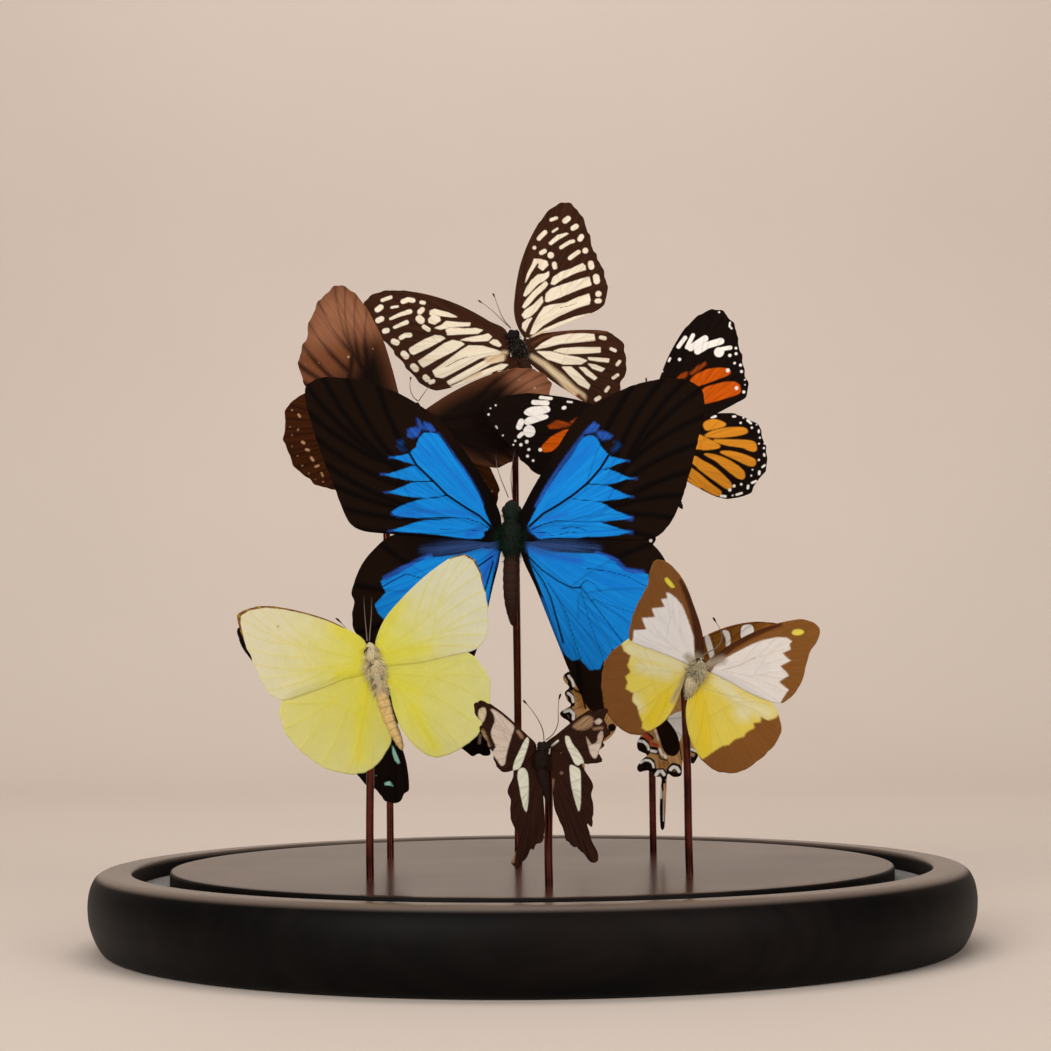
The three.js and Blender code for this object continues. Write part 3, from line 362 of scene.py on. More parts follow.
# Marks on the upper side of each wing, in front view around the thorax. Marks are parted by semicolons.
# Each is: its colour layer where that changes, how it is drawn, then its points as x,z. It is drawn as a
# stroke with a half width such as .5, or .3>.6 where the width grows, as a patch with a rounded edge (fill)
# or as a patch with a straight-sided edge (cut).
PATCHES = ("fill", "cut")
MARKS = {
    "zebra_forewing_left": """
    pale .75 -45,12.9 -43.9,13.7; .75 -44.8,9.4 -43.7,9.9; .7 -42.7,5.9 -41.9,6.1;
    .8 -39.8,2.5 -38.8,2.1; .85 -36.6,-1.5 -35.8,-2.4; .9 -33.5,-5.7 -32.7,-6.5; .8 -29.6,-9.3 -29,-9.9;
    .55 -28,-10.9 -27.1,-10.6; .45 -43.4,16 -40.7,16.9; .65 -36.7,15.5 -35,16.1 -33.5,15.8;
    .25 -40.4,13.6 -38.4,13.9; .3>.65 -40.8,9.9 -37.5,11.3 -34.5,12.2; .35>.6 -39.5,7.1 -35.6,8.7;
    .6 -37.4,3.7 -36,4.5 -34.5,4.5; .45 -30.8,15.2 -29.9,15; .7 -31.3,12 -30.5,12.8;
    1.05 -31.5,9.8 -30.9,9.3; .55 -30,7.2 -28.5,6.2;
    cut -28,12.3 -26.5,12.9 -22,11.6 -19.3,10.3 -21,10.3 -26,11 -28,11.2;
    cut -28.6,9.5 -27.2,11 -25,10.3 -24.6,9.2 -26.5,8 -28.3,8.6;
    cut -26.4,6.8 -24.3,7.6 -22.8,8.9 -18,8.4 -15,8.3 -15.2,7.4 -21.5,7.1 -24.5,6.3;
    cut -22.9,6.1 -21.5,6.7 -17,6.4 -13,6.5 -11,5.9 -12.5,4.9 -18,4.7 -22.3,4.5;
    cut -18.1,2.8 -15,3.6 -11,4.2 -9.2,4.7 -8.1,3.7 -9.2,2.5 -14,2.3;
    cut -8.7,1.9 -7.6,2.8 -6.2,2.5 -5,1 -5.6,.5 -7.6,1.2;
    cut -34.8,-.2 -34.5,.3 -30,2.9 -26.5,4.3 -24.5,4.1 -23.2,3.4 -25,2.3 -29,.2 -33.4,-1.8 -34.3,-1.3;
    cut -31.9,-4 -28,-1.5 -23.5,1.6 -20.8,2.7 -18.2,2.2 -17,1.4 -20,-.6 -26,-3.6 -30.2,-6 -31,-5.3;
    cut -27.2,-7.2 -22.5,-3.9 -18,-.6 -15.5,.9 -11,.7 -7,-.5 -4.9,-1.3 -6,-2.1 -9,-2.3 -12,-3.2 -18,-6.4
        -24,-9.5 -26.3,-9.1; ink .12 -23,-6 -19,-3.8 -16,-2.6;
    pale cut -22.6,-10.8 -16,-7 -10.5,-4.1 -5.2,-3.1 -4.2,-3.9 -8,-4.8 -14,-8 -19,-10.6 -21.8,-11.8;
    cut -21.4,-12.4 -16,-10 -10.5,-7.2 -5,-5.2 -2.9,-5.4 -4.6,-6.8 -10,-9 -15,-11 -19.8,-12.6;
    warm 1.2 -9,-3.7 -5,-2.9; .5 -17,-10.4 -12,-8.2; .5 -4.4,-1.4 -3.4,-1.4""",
    "zebra_forewing_right": """
    pale .75 16,41.4 17,42.2; .7 18.6,39 19.6,39.6; .7 20.8,35.4 21.3,36.2; .8 22.5,31.6;
    .8 24.2,27.4 24.4,26.3; .9 25.9,22.9 26.1,21.6; .85 26.6,17.4; .65 26.1,15.1 26.9,15.1;
    .4 11.5,41.8 13.2,42.4; .6 7.5,35.7 8.5,36.8 9.5,37.7; .22 12,37.9 13.5,38.9;
    cut 10.7,34.2 13.5,36.7 16.5,37.4 17,37.2 14,35.5 11.3,33.6; .45 14.6,32.7 17.5,34.5 18.6,34.7;
    .55 17.5,29.2 19,30.3 20.3,31.2; .5 6,32.7; .6 8.2,31 9.3,31.6; .9 11.3,30.2;
    .65 12.4,27.3 12.6,26.3;
    cut 11.3,20.8 12,22.9 14.5,24.6 18,25.7 21.5,27.4 22.4,26.6 22.5,25.4 19,24.3 15,22.4 12.3,20.6;
    cut 9.4,15.2 9.6,17.5 11.3,19.2 15.5,20.6 20,22 23.6,23 24.3,20.4 20,18.9 14,16.4 10.2,15;
    cut 4.4,4.6 5.5,7.5 7.3,10.8 9,13.2 11,13.9 16,14.5 20,16.3 23.5,17.4 23.9,15.2 23.6,14.2 19,12.7
        13.5,10.3 8.5,7.3 5.6,4.6; ink .1 14,13 17,13.6 19.5,14.4;
    pale cut 5.4,3.8 9,6.1 14,8.2 19,10 23.8,11 23.4,10.2 19,8.6 13.5,6.3 8.5,3.9 6.3,3.3;
    cut 5.9,29 8,28.9 10,28.2 10.4,27 8.6,25.3 7.2,26.3 7.6,27.4 6.9,27.8 5,25 3,21.4 3.6,24 5.2,27.2;
    cut 2.4,17.1 3.3,19.5 5,22 7,23.8 9.2,24.1 10.6,24.8 10.5,23.3 8.8,21.8 7,20.9 4.5,18.2 3,16.9;
    cut 2,13.4 3,15.3 5.3,18 8,20.4 9.6,21.6 10.2,20.8 9.4,19.6 6.5,17 4,14.2 2.6,13;
    cut 1.8,10.8 2.8,12.2 5.5,14 8.3,16.7 8.6,15 6.5,12.2 4.5,10.3 2.6,9.6;
    cut 1.9,6.5 2,8 3.5,9.3 5,9.7 3.8,7.8 2.8,5.4; .5 3.5,2.7; warm .7 5.5,3.4 9,4.9""",
    "zebra_hindwing_right": """
    pale cut 6,-.4 8.4,1.5 12,3.4 17,4.4 22,4.5 25,4.2 25.3,2.3 20,1.8 14,1.3 9.5,.2;
    .5 27.2,3.2 28.5,2.9; cut 12,-1 14.5,-.3 20,0 27,-.1 27,-1.6 22,-1.9 16,-2;
    cut 6.6,-1.2 11,-1.3 15,-2.4 20,-3.3 22.6,-4.3 20.8,-5.4 15,-5.4 10,-3.7;
    cut 23,-3.3 26,-3.5 29.8,-3.8 29.6,-4.9 26,-4.5 23.4,-4;
    cut 23,-5.3 25.5,-5.8 28.3,-7 27.3,-7.9 24.5,-6.9;
    cut 20.2,-6.5 22,-6.6 25.8,-9.9 25,-10.6 22.5,-8.9;
    cut 14.6,-6.3 17.5,-6.3 20.5,-9 23.5,-12.3 23,-13.5 20,-12 17,-9; .4 30.5,-.5 31.8,-1.1;
    .4 32.4,-5.7 33.2,-4.7; .4 31.1,-10 32.5,-9.1; .4 28.7,-14.2 29.5,-13.1; .5 25.5,-17 26.5,-16.4;
    warm .6>1.7 4.8,-2.7 9,-5.4 14,-9.7 18,-14 20.5,-16.3; rust .9 19.8,-16 21.2,-17.4;
    .35 5,1.2 8.5,3.4 14,5 22,5.3 29,4.9""",
    "zebra_hindwing_left": """
    pale .9 -5,-7 -8,-21; 1 -3,-8 -4.6,-23; .9 -1,-8 -.4,-21; .4 -9.5,-24; .4 -6,-26.5; .4 -2,-25.5""",
    "blue_forewing_left": """
    azure cut -5.5,4.6 -7,8 -8,11 -9.3,14 -11.2,17.5 -13.5,21 -16,24.4 -18.2,27.6 -19.6,29.8 -20.8,31
        -22.6,31.4 -24.6,31.3 -26,30 -26.6,28.6 -26.9,27.2 -27.8,26.6 -28.9,25.4 -31,24.9 -34,24.3
        -30.5,23.1 -28,22.3 -26.8,22 -28.5,21.6 -31.5,20.6 -34.5,19.7 -36.3,19.3 -33,18.4 -29,17.6
        -26.5,17.2 -23,17.2 -28,17 -31,15.8 -33.5,14.7 -35.3,14.2 -32,13.4 -28,12.8 -24,12.5 -18.5,13
        -21,12.4 -25,12.2 -29,11.2 -32,10 -34,8.6 -33.4,7.6 -31,7.1 -27,6.7 -22,6.5 -16,6.6 -20,6.2 -25,6
        -28,5.2 -31.5,4 -34.4,3.1 -31,2.7 -26,2.4 -21,1.9 -16,1.1 -12,.6 -8.2,.7 -7.4,1.4 -7.6,2.4
        -6,3.4; violet cut -29.3,32.3 -27,32.9 -25.4,32 -26.2,30.6 -27.6,29.9 -29.2,30.4;
    cut -26.6,35.6 -25.8,35 -25.2,33.4 -24.8,32.3 -25.6,32.6 -26.2,34;
    cut -24.6,34.5 -22.8,33.8 -21.3,32 -22.2,31.7 -24.2,32.2 -24.9,33.2;
    mist cut -32.2,29 -30.8,29.4 -30.4,28 -30.9,27.4 -29.6,26.4 -30.2,25.9 -31.4,26.6 -32.4,27.8;
    violet .3 -20.6,31 -18.4,27.8 -16.1,24.5 -13.6,21 -11.3,17.4 -9.3,13.8 -8,10.6;
    .05 -32.5,24.3 -34.6,24.3; .05 -35,19.4 -37,19.4; .05 -34,14.3 -36,14.2; .5 -33.6,8.2 -32.8,8.4;
    .05 -33.4,3.1 -35,3; deep .1 -26,27.2 -21,24 -15,18 -10,12; .2 -32,7.8 -26,8.4 -16,8.6 -9.5,7.2;
    .8 -12,2 -8.5,3.4; ink .32 -28.9,25.6 -26.8,22 -22,17.3 -18,13.2 -13,9.8 -8.8,7.2 -5,3.6;
    .12 -28.5,17.3 -22,17.2; .1 -27,12.2 -22,12.6 -17.8,13.2;
    .15 -26,6.6 -18,6.8 -12.5,6.5 -8.5,5.2 -5.5,3; .08 -20,3.4 -12,3.2 -7,2.6;
    .12 -26.9,28.6 -25.6,31 -25.1,33; .1 -25,31.9 -22,31.6 -20.6,30.8""",
    "blue_forewing_right": """
    azure cut 5,4.2 6.5,7 8,10 10,13.4 12.5,17 15.5,21.2 18,24.6 19.8,27.6 21.2,29.4 22.8,30.2 24.4,30.1
        25.6,28.8 26.2,27.4 27,26.2 28.2,25 29.2,24 31,23.6 33.8,22.8 31,21.8 29,20.9 27.3,20.5 29,20.2
        31.5,19.2 34,18 36,17.6 33.5,17.3 31,16.5 28.5,16 25.5,15.8 28,15.6 30.5,14.4 33,13.2 35,12.4
        32,11.8 28,11.3 25.5,11 28,9.8 30.5,8.3 33.2,7.2 34.9,6.4 33,5.8 29,5.5 25.5,5.1 29,4 32,3
        34.8,2.2 31,1.2 27,.9 22,.9 18,.3 14,-.3 10,-.2 7.5,1 6,2.6;
    violet cut 24.5,33.9 25.8,33 25.2,31.4 23.6,31 21.2,30.6 22.4,32.2;
    cut 25.2,31.2 27.6,31.2 29.8,30 28.8,29.2 26.8,28.8 25.6,29.6;
    mist cut 31.5,28.4 32.2,27 31,25.8 29.6,25.2 29.4,26.2 30.4,27 30.2,28.2;
    violet .3 21,29.9 18,25.8 15,21.6 12,17.4 9.6,13.6 7.6,9.8; .05 32.6,22.8 34.4,22.7;
    .05 34.8,17.6 36.6,17.6; .05 34,12.4 35.6,12.2; .6 33.4,6.4 34.8,6.1; .3 33,2.2 35,2;
    deep .1 22.5,26.5 17,21 11,14; .8 9,1.6 6.5,3.4; .2 16,7.4 10,6.2;
    ink .32 28.6,24.4 26.2,20.6 22.4,16.3 18.5,13.2 14,10.2 9.5,7.6 5.5,4; .12 28,20.2 26.4,20.4;
    .12 28.5,15.8 22.4,16.1; .12 26,11 20,11.6 17,12.2; .15 27,5.3 20,5.3 13,5.5 9,4.4 6,3;
    .14 14.5,3.2 17.5,3.8 20.5,3.3 22,2.6; .1 14,1.6 17,2.4 20,2; .1 6.5,2.4 10,2.2 12.5,1.2;
    .12 25.2,30.8 26.6,28.4 27.4,26""",
    "blue_hindwing_left": """
    azure cut -3,-3 -8,-2 -14,-3.8 -20,-4.4 -24,-4.6 -27,-6.4 -30,-8 -33,-9.6 -35.5,-11 -37.3,-11.3
        -36.8,-12.8 -35.8,-14.6 -37,-16 -39,-18 -38.2,-20.4 -36.5,-22.2 -34.5,-26 -31,-29.5 -27.5,-32
        -25.5,-37 -22,-38.5 -19,-36 -15.5,-35 -12,-32 -9.8,-27 -6.9,-19.5 -3.8,-4;
    dusk cut -4,-.4 -12,-.2 -18,-1 -25,-2.6 -20,-3.6 -8,-2.4 -4,-2;
    violet .6 -23,-4.2 -30,-7.4 -36,-10.6; deep 1.6 -5,-4 -8,-11;
    ink .2 -5,-4.4 -12,-9.3 -20,-13.3 -33,-29.9; .14 -21,-12 -30,-9.3 -37.5,-13.3;
    .14 -16.2,-12.9 -19,-22 -23.5,-32; .14 -11,-18 -17,-31; .22 -4.9,-6 -7,-13 -8.4,-17 -12,-28""",
    "blue_hindwing_right": """
    azure cut 5,-1.6 12,-3.4 18,-3.7 24,-3.9 27,-4.7 30,-6.4 32.5,-9 35,-9.7 39.5,-10 40,-14 37,-20
        35,-26 33.5,-30 29,-31.5 27.3,-34.4 26.4,-35 25.3,-37.2 22.5,-37.4 20.6,-35.2 19.5,-34.2
        17.5,-34.7 15.6,-33 13.2,-27.5 11,-20.5 8,-12.5 5.5,-6;
    dusk cut 5,-.6 12,-.3 18,-.8 25,-2.4 18,-3.2 10,-3 5,-2; violet .6 25,-3.9 30,-6 33,-8.8 38,-9.6;
    deep 1 6,-2.4 12,-4.6 20,-6; .3 9,-17 14.6,-32; ink .22 5.2,-4.6 9,-8.5 14,-12 17.5,-13.7 19.8,-13.7;
    .2>.28 5,-5.4 9.5,-12 11.5,-16.5 13,-22 15,-29.5; .16 20.2,-13.4 25,-20 32.4,-30;
    .11 19.8,-13.7 21,-12.2 22,-11.6 24,-12.6 26,-15; .13 22,-8.3 28,-9 34,-10.8 39.5,-13.8;
    .1 19.9,-13.8 22.6,-23.5 26.4,-34; .12 11,-12.5 15.5,-20 18.5,-29.5 20,-34.5;
    .09 23.6,-17 30,-19.4 37,-21.6""",
    "tiger_forewing_right": """
    white .6 9.2,31.8 11.3,34.6; .6 11.8,31.6 13.7,35.3; .95 12.9,31.4 17.4,34.3;
    1 15,30.4 18,32.2 22.2,33.4; 1.5 21.6,30; .6 22.6,31 25.1,31.4; .3 6.2,27.4 6.6,28.3; .5 9.5,27.9;
    .3 21.8,42.4; .25 25.1,39.2 24.9,38 25.6,37.3; .5 24.9,29; .4 26.8,31.2; .45 26.8,29.5; .4 26.3,26.6;
    .45 28.1,26; .6 24.2,24.4; .45 28.4,24; .28 29.4,21.5; .55 26.8,18.9; .45 29,17.7; .22 29.4,19.9;
    .3 4.1,24.3; ember fill 8.6,22.2 10.5,23.6 11.8,24 11.4,22.6 9.6,21.6;
    fill 12.6,23.4 14.5,25.4 17.2,27 17.8,26.4 15.6,24.7 13.8,23.4;
    orange fill 12.6,20.6 13.2,22.2 15.5,23.7 19,25 23.4,25.1 24.9,24.3 24.6,23.1 20,21.3 15.5,19.8
        13.6,19.4;
    fill 17,19 19,19.8 24,20.9 26.8,20.6 28,19 27.6,17.3 24,16 19,14.6 16.6,14.2 15.6,15.2 16,18;
    cut 5,6 8,15 11.4,20.6 12.4,19.2 9,12; cut 6,5.5 9.5,12 14.6,18 14.6,14.4""",
    "tiger_forewing_left": """
    white .45 -33.2,16.6 -29.9,16.2; .7 -35.3,15.1 -31.2,14.8;
    fill -38.3,12 -36.5,13.5 -33,13.9 -30.8,13.8 -30.3,12.4 -33,11.4 -36.5,10.9;
    fill -37.2,10.4 -34,11.1 -31.2,11.2 -31.1,10.2 -34.5,9 -37.3,8.2 -38.2,9; .9 -39.8,7.6 -39.1,9.2;
    1.8 -36.7,6.2; .6 -39.8,4.7 -38.9,5.5; .35 -41,3.3; .5 -39.3,2.1; .55 -37.5,3; .28 -41.6,2.1;
    .45 -36.9,.6; .45 -37.3,-1.4; .4 -35.6,-2.8; .55 -33.4,.5; .5 -26.2,13.3 -25.8,13.4;
    .25 -25,15.2 -23.6,15; .3 -46.9,14.3; .25 -48.5,13.4; .35 -49.1,11.5; .2 -46.9,7.9 -46.5,7.3;
    .25 -44.8,5; ember fill -24,9 -22,10.2 -19.5,10.9 -20.5,9.6 -22.5,8.4;
    fill -31,7.8 -28.5,9.3 -26,9 -24,8 -27,7.2 -30.5,7;
    orange cut -33.3,.4 -32.6,2 -30,4.5 -26.5,6.3 -23.8,6.9 -25.3,5 -28,1.6 -30,0 -32,-.3;
    fill -22,6 -14,7.5 -6,4.5 -10,1.5 -18,.5 -24,2.5""",
    "tiger_hindwing_right": """
    amber fill 16.7,8.2 19,9.3 21.9,8.8 23.3,7.6 20.7,6.7 17.3,6.2;
    fill 17,4.4 19,5.6 23.6,6.7 28.8,6.7 29.9,5.3 27.1,4.4 22.4,3.9 19,3.9;
    fill 19.6,3 24.8,3 30.5,2.7 32.3,1.8 32.5,-.2 31.1,-.5 28.2,.7 23,1.6;
    fill 5,1 8,3.2 14.1,4.7 17.3,3.6 20.7,1.8 21.3,.7 17.3,.1 13.8,.4 8,-.2;
    fill 21.6,-.7 24.8,-.5 28.8,-1.6 32,-3.1 32,-4.8 29.9,-4.8 25.9,-2.8;
    fill 16.7,-1.3 20.1,-1.6 24.2,-3.3 28.2,-6.2 28.8,-8.5 27.1,-8.8 23.6,-6.2 20.1,-3.3;
    fill 4,-.8 12.6,-1.6 16.1,-3.3 20.1,-5.7 24.2,-9.7 24.8,-11.4 23.6,-12 20.1,-9.7 15.5,-6.2 12.3,-3.6
        6,-2;
    fill 5,-2.6 11.5,-5.1 14.4,-6.8 18.4,-10.3 21.6,-12.9 20.7,-14 17.3,-12.6 13.2,-9.1 11.2,-7.2 6,-4;
    .35 6,-5 10.8,-8.3 15,-11.5; white .35 19.1,10 20.3,10.3; .3 25.6,10.2 26.3,10.2; .35 27.9,8.2;
    .3 28.8,9.8; .35 30,9 31,8.1; .35 31.3,6.7; .28 32.8,7.6; .3 33.4,5.9 33.4,5.3; .3 33.7,3.6;
    .28 33.4,1.8; .3 35.1,1.8; .33 34.9,.4; .3 34.9,-1.4 35,-1.9; .33 33.3,-3.2; .3 34.3,-5.4 35.1,-4.8;
    .38 33.4,-6.8 33.3,-7.5; .25 31.3,-6.2; .3 30.9,-8; .33 31.1,-10.2 32.3,-9.7;
    .38 29.9,-11.1 29.8,-11.8; .38 27.8,-10.6; .45 25.6,-11.1; .5 24.3,-12.3; .33 26.3,-13.8 27.9,-13.3;
    .28 25.1,-14; .38 21.6,-14.1 22.9,-14.3""",
    "tiger_hindwing_left": """
    amber .5>1.5 -3.5,-4 -16.5,-23; .5>1.5 -2.5,-6 -11,-27; .5>1.4 -1,-7 -4,-26;
    .4>1.2 -6,-5 -18.5,-18.5; white .5 0,-27.6; .4 -3.5,-29.4; .4 -7.5,-30.2; .4 -12,-31; .4 -17,-29.8;
    .4 -20.3,-27; .4 -20.8,-23""",
    "crow_forewing_left": """
    dark fill -2,2 -2,6 -4,14 -6.5,22 -10,26 -14,23 -18,17 -24,11 -28,7 -14,1; dot .4 -18,21;
    .25 -10.6,23.4; sheen fill -8,30 -13,38 -20,42 -27,37 -31,27 -28,24 -18,27; dot .25 -21.3,37;
    .2 -31.2,22; .2 -31,19; .22 -27,19.3""",
    "crow_forewing_right": """
    dark fill 2,-2 3,3 15,11 25,14.5 31,14.5 32,9 38,2 38,-4 32,-11 20,-12 8,-6;
    sheen fill 31,16 40,15.6 42.5,11 42,4 38,7 33,11; dot .45 38,11.1; .25 33.5,13.5; .22 25.2,4.2;
    .22 23.7,3""",
    "crow_hindwing_left": """
    dot .28 -35,5; .35 -33.1,3.7 -32.6,3; .25 -35.7,0; .35 -33.2,-.9; .25 -35,-2.6; .4 -32,-4.6 -31.4,-5;
    .25 -35,-5.9; .4 -30.8,-6.9 -30,-7.2; .25 -33.4,-8.8; .4 -29.3,-9.4 -28.7,-10.2; .28 -32,-11.8;
    .35 -28,-12.1 -27.1,-11.8; .28 -30,-14.2; .3 -26.2,-14 -25.8,-15; .25 -28,-16; .28 -25.7,-16.7;
    dark fill -2,3 -14,7 -20,4 -22,-4 -18,-12 -6,-9""",
    "crow_hindwing_right": """
    dark fill 1,0 12,-5 18,-10 20,-16 16,-22 8,-18; dot .3 25,-20; .3 24,-24.5; .3 20.5,-28; .3 16,-28.8;
    .3 22.5,-17""",
    "yellow_forewing_left": """
    dot .35 -25.7,11.4; brown .1>.4 -8,11.1 -12,13 -18,15 -24,16.4 -29,17 -33.5,16.3 -36.2,14.7;
    .45>.15 -36.2,14.8 -36.2,12.2 -35.1,8; gold 1.4 -2.5,2 -4,7.6 -10,11.2; .7 -2,-.5 -9,-1.6""",
    "yellow_forewing_right": """
    brown .1>.25 20.5,29.4 24.3,30.5 27.2,29; .25>.1 27.2,29 28.9,25.5 30.1,20.5;
    gold 1.2 1,6 2.3,10.5 7,17; .8 3,3.5 14,4.8""",
    "yellow_hindwing_left": """
    gold 1.4 -1.5,-4 -3,-9 -4,-24""",
    "yellow_hindwing_right": """
    gold 1 4.5,-3.5 11,-6; 1.2 10.5,-11 16,-21.5""",
    "pied_forewing_left": """
    white cut -.4,2.6 -.6,5.1 -.7,8.4 -1.6,11.2 -2.6,14.1 -3.8,17 -5.5,19 -7.1,20.2 -8,20.3 -7.7,18.8
        -9.4,18.5 -8.4,16.4 -12,16.1 -11.1,13.7 -14.7,13.5 -13.5,10.4 -16.9,10.2 -17.1,8 -18,6 -11,3
        -4,-1; spot fill -8.4,24.2 -7.7,24.5 -6.2,22.8 -5.6,21.6 -6.5,21.6 -8,23.1;
    costa 2.2>.5 1.5,2.6 1.4,7 .6,11 -.6,15.5 -2.2,19.5 -4,23.5; smoke .8 -.8,1.5 -2.5,3""",
    "pied_forewing_right": """
    white cut 5,.5 7.7,2.4 11.4,4.3 15,6.1 18.3,7.3 22,8 24.3,7.9 25.9,6.9 25.1,5.9 25.6,4.7 23.2,3.6
        25.5,1.6 22.6,.2 25,-2.3 22.2,-4.1 24.8,-6.2 22.9,-8.9 22.6,-10.4 20,-11.5 14,-9 8,-5 3,-2.5;
    spot fill 25.8,9.1 26.4,9.9 28.2,10.1 29.3,9.4 28.4,8.6 26.6,8.5;
    costa 2.2>.5 3.2,2.2 5.9,4 9.9,6.4 14.3,8.5 18.4,10 23,11.4; smoke 1 3.5,1 7,2;
    ink .1 7,-.8 12,.6 16,2.6""",
    "pied_hindwing_left": """
    gold cut -20.3,6.6 -19.6,4.7 -17.8,3.4 -18.7,.6 -17.9,-1.1 -19.3,-2.3 -18.7,-3.9 -19.3,-5.6
        -17.2,-6.8 -17.5,-8.9 -16.2,-10.3 -15.7,-12.5 -14.8,-14.6 -15,-16.2 -13.9,-17 -11,-17 -8,-14.8
        -3,-6 0,0 -6,4 -12.5,7 -17.5,9; cream 1.8 -18,5 -10,2.5 -5,.5; 1 -16.8,-8.3 -15.6,-10.6;
    1.6 -15,.5 -8,-1.5; deep 2.4 -8,-8 -12.5,-14; smoke .5 -3.5,-3 -6.5,-9""",
    "pied_hindwing_right": """
    gold cut -3,-8 -3.6,-13 -3,-18 -1.2,-22.5 1.2,-24.8 3,-23.5 4.6,-22.5 6.5,-21.3 8.5,-20.9 10,-19.5
        12.5,-18.8 13.2,-17.6 15.5,-16.4 15,-15.2 17.2,-14.8 17,-13.4 19,-14.4 21.3,-13.8 22.4,-12 21,-9
        13,-4 3,0 -1,-3; cream 1.8 19,-12.3 12,-9.5 6,-3.8; 2.4 12.5,-12.2;
    deep 2.2 .5,-8 1.8,-16 1.6,-22; ink .07 1.5,-5.5 8,-7.6 13,-8.6; .06 2,-2.6 8,-3.4 13,-5.6""",
    "dragontail_forewing_left": """
    pane fill -13.8,10.2 -12.3,9.7 -9.8,7.7 -7.8,5.7 -8.3,3.8 -9,1.5 -9.7,-1 -10.3,-3.9 -11,-4.3
        -12.2,-2.8 -13.4,-.7 -12.5,.4 -13.1,2.1 -13.7,4 -13.3,5.6 -12.7,7.2 -13,8.8;
    fill -16.6,10.2 -15.2,10.6 -14.9,9 -15.6,7 -16.2,6.5 -16.9,8.5; tan .5 -15.8,4.6 -14.4,1;
    .4 -6.8,4.4 -5.8,3;
    band fill -5.1,2.3 -4.5,3 -4,2.1 -4.6,-.3 -5.8,-3.6 -7,-5.8 -8.1,-5.8 -7.9,-3.6 -6.7,-.9""",
    "dragontail_forewing_right": """
    pane fill 10.6,3 11.1,.6 11.7,-1.5 12.6,-2.6 13.4,-1.8 14.2,.5 14.9,3.2 14.6,4.4 13.6,3.4 13.4,1.8
        12,1 11,2.4; fill 12.7,6.8 14,7.6 14.7,6.8 14,6.1 13,6.3;
    tan fill 7.2,5.4 8,6.5 10.5,8.2 12.3,7.8 12,5.6 9.5,4.6; .35 12.6,5 14.6,5.2;
    band fill 5.3,3.3 6.2,3.1 7.1,1.2 8.7,-.9 9.9,-3.3 9.6,-4.6 8,-4.4 6.8,-2.1 5.6,.6 5.2,2.4;
    .25 1.6,.6 3.4,2""",
    "dragontail_hindwing_left": """
    band fill -7,-7.2 -6.7,-5.2 -5.5,-4.8 -4.6,-5.7 -4.2,-8.1 -4.3,-12.9 -4.8,-16 -5.4,-15.4 -6.1,-12.6
        -6.6,-9.6; tan .3 -7.6,-21.5 -7.4,-23.5; .3 -8,-26 -8.4,-28.5""",
    "dragontail_hindwing_right": """
    band fill 6.4,-4.2 8.1,-4.8 9,-5.7 9.1,-10.2 9,-14.1 8.5,-16 7.8,-14.1 6.8,-10.2 6.4,-6.9;
    tan .3 4.2,-6.2; .35 2,-8 1.5,-10.5""",
    "swordtail_forewing_right": """
    dark .12 16.3,10.8 17.6,4.4; white fill 17,10.4 18.3,10.9 19.9,5 18.6,4; dark .1 19.1,11.2 20.6,4.6;
    .12 21.7,12.6 23.5,7.6; white fill 22.4,12.3 24.2,12.2 24.9,9.5 24.4,7.6 23.3,7.8 23.4,9.8;
    dark .1 25,12.6 25.3,8; .12 27.9,14 27.6,9.4; white fill 28.4,13.6 31.4,13.9 31.7,11.4 28.2,9.9;
    dark .1 32,14.2 32.2,10; white .8 9,5 10.5,0; .8 36,12.5 35,6; dark .8 43,12 44,2 39,-5;
    .12 2,1 16.5,10.3 28,14.3 34,14.8 40,14.1""",
    "swordtail_forewing_left": """
    white .8 -10,20 -14,16; .8 -13,27 -18,22; .8 -7,12 -10,9; dark .9 -17,32 -22,31 -22.5,22 -19,11;
    .4 -9,21 -13,16; .4 -12,28 -17,23""",
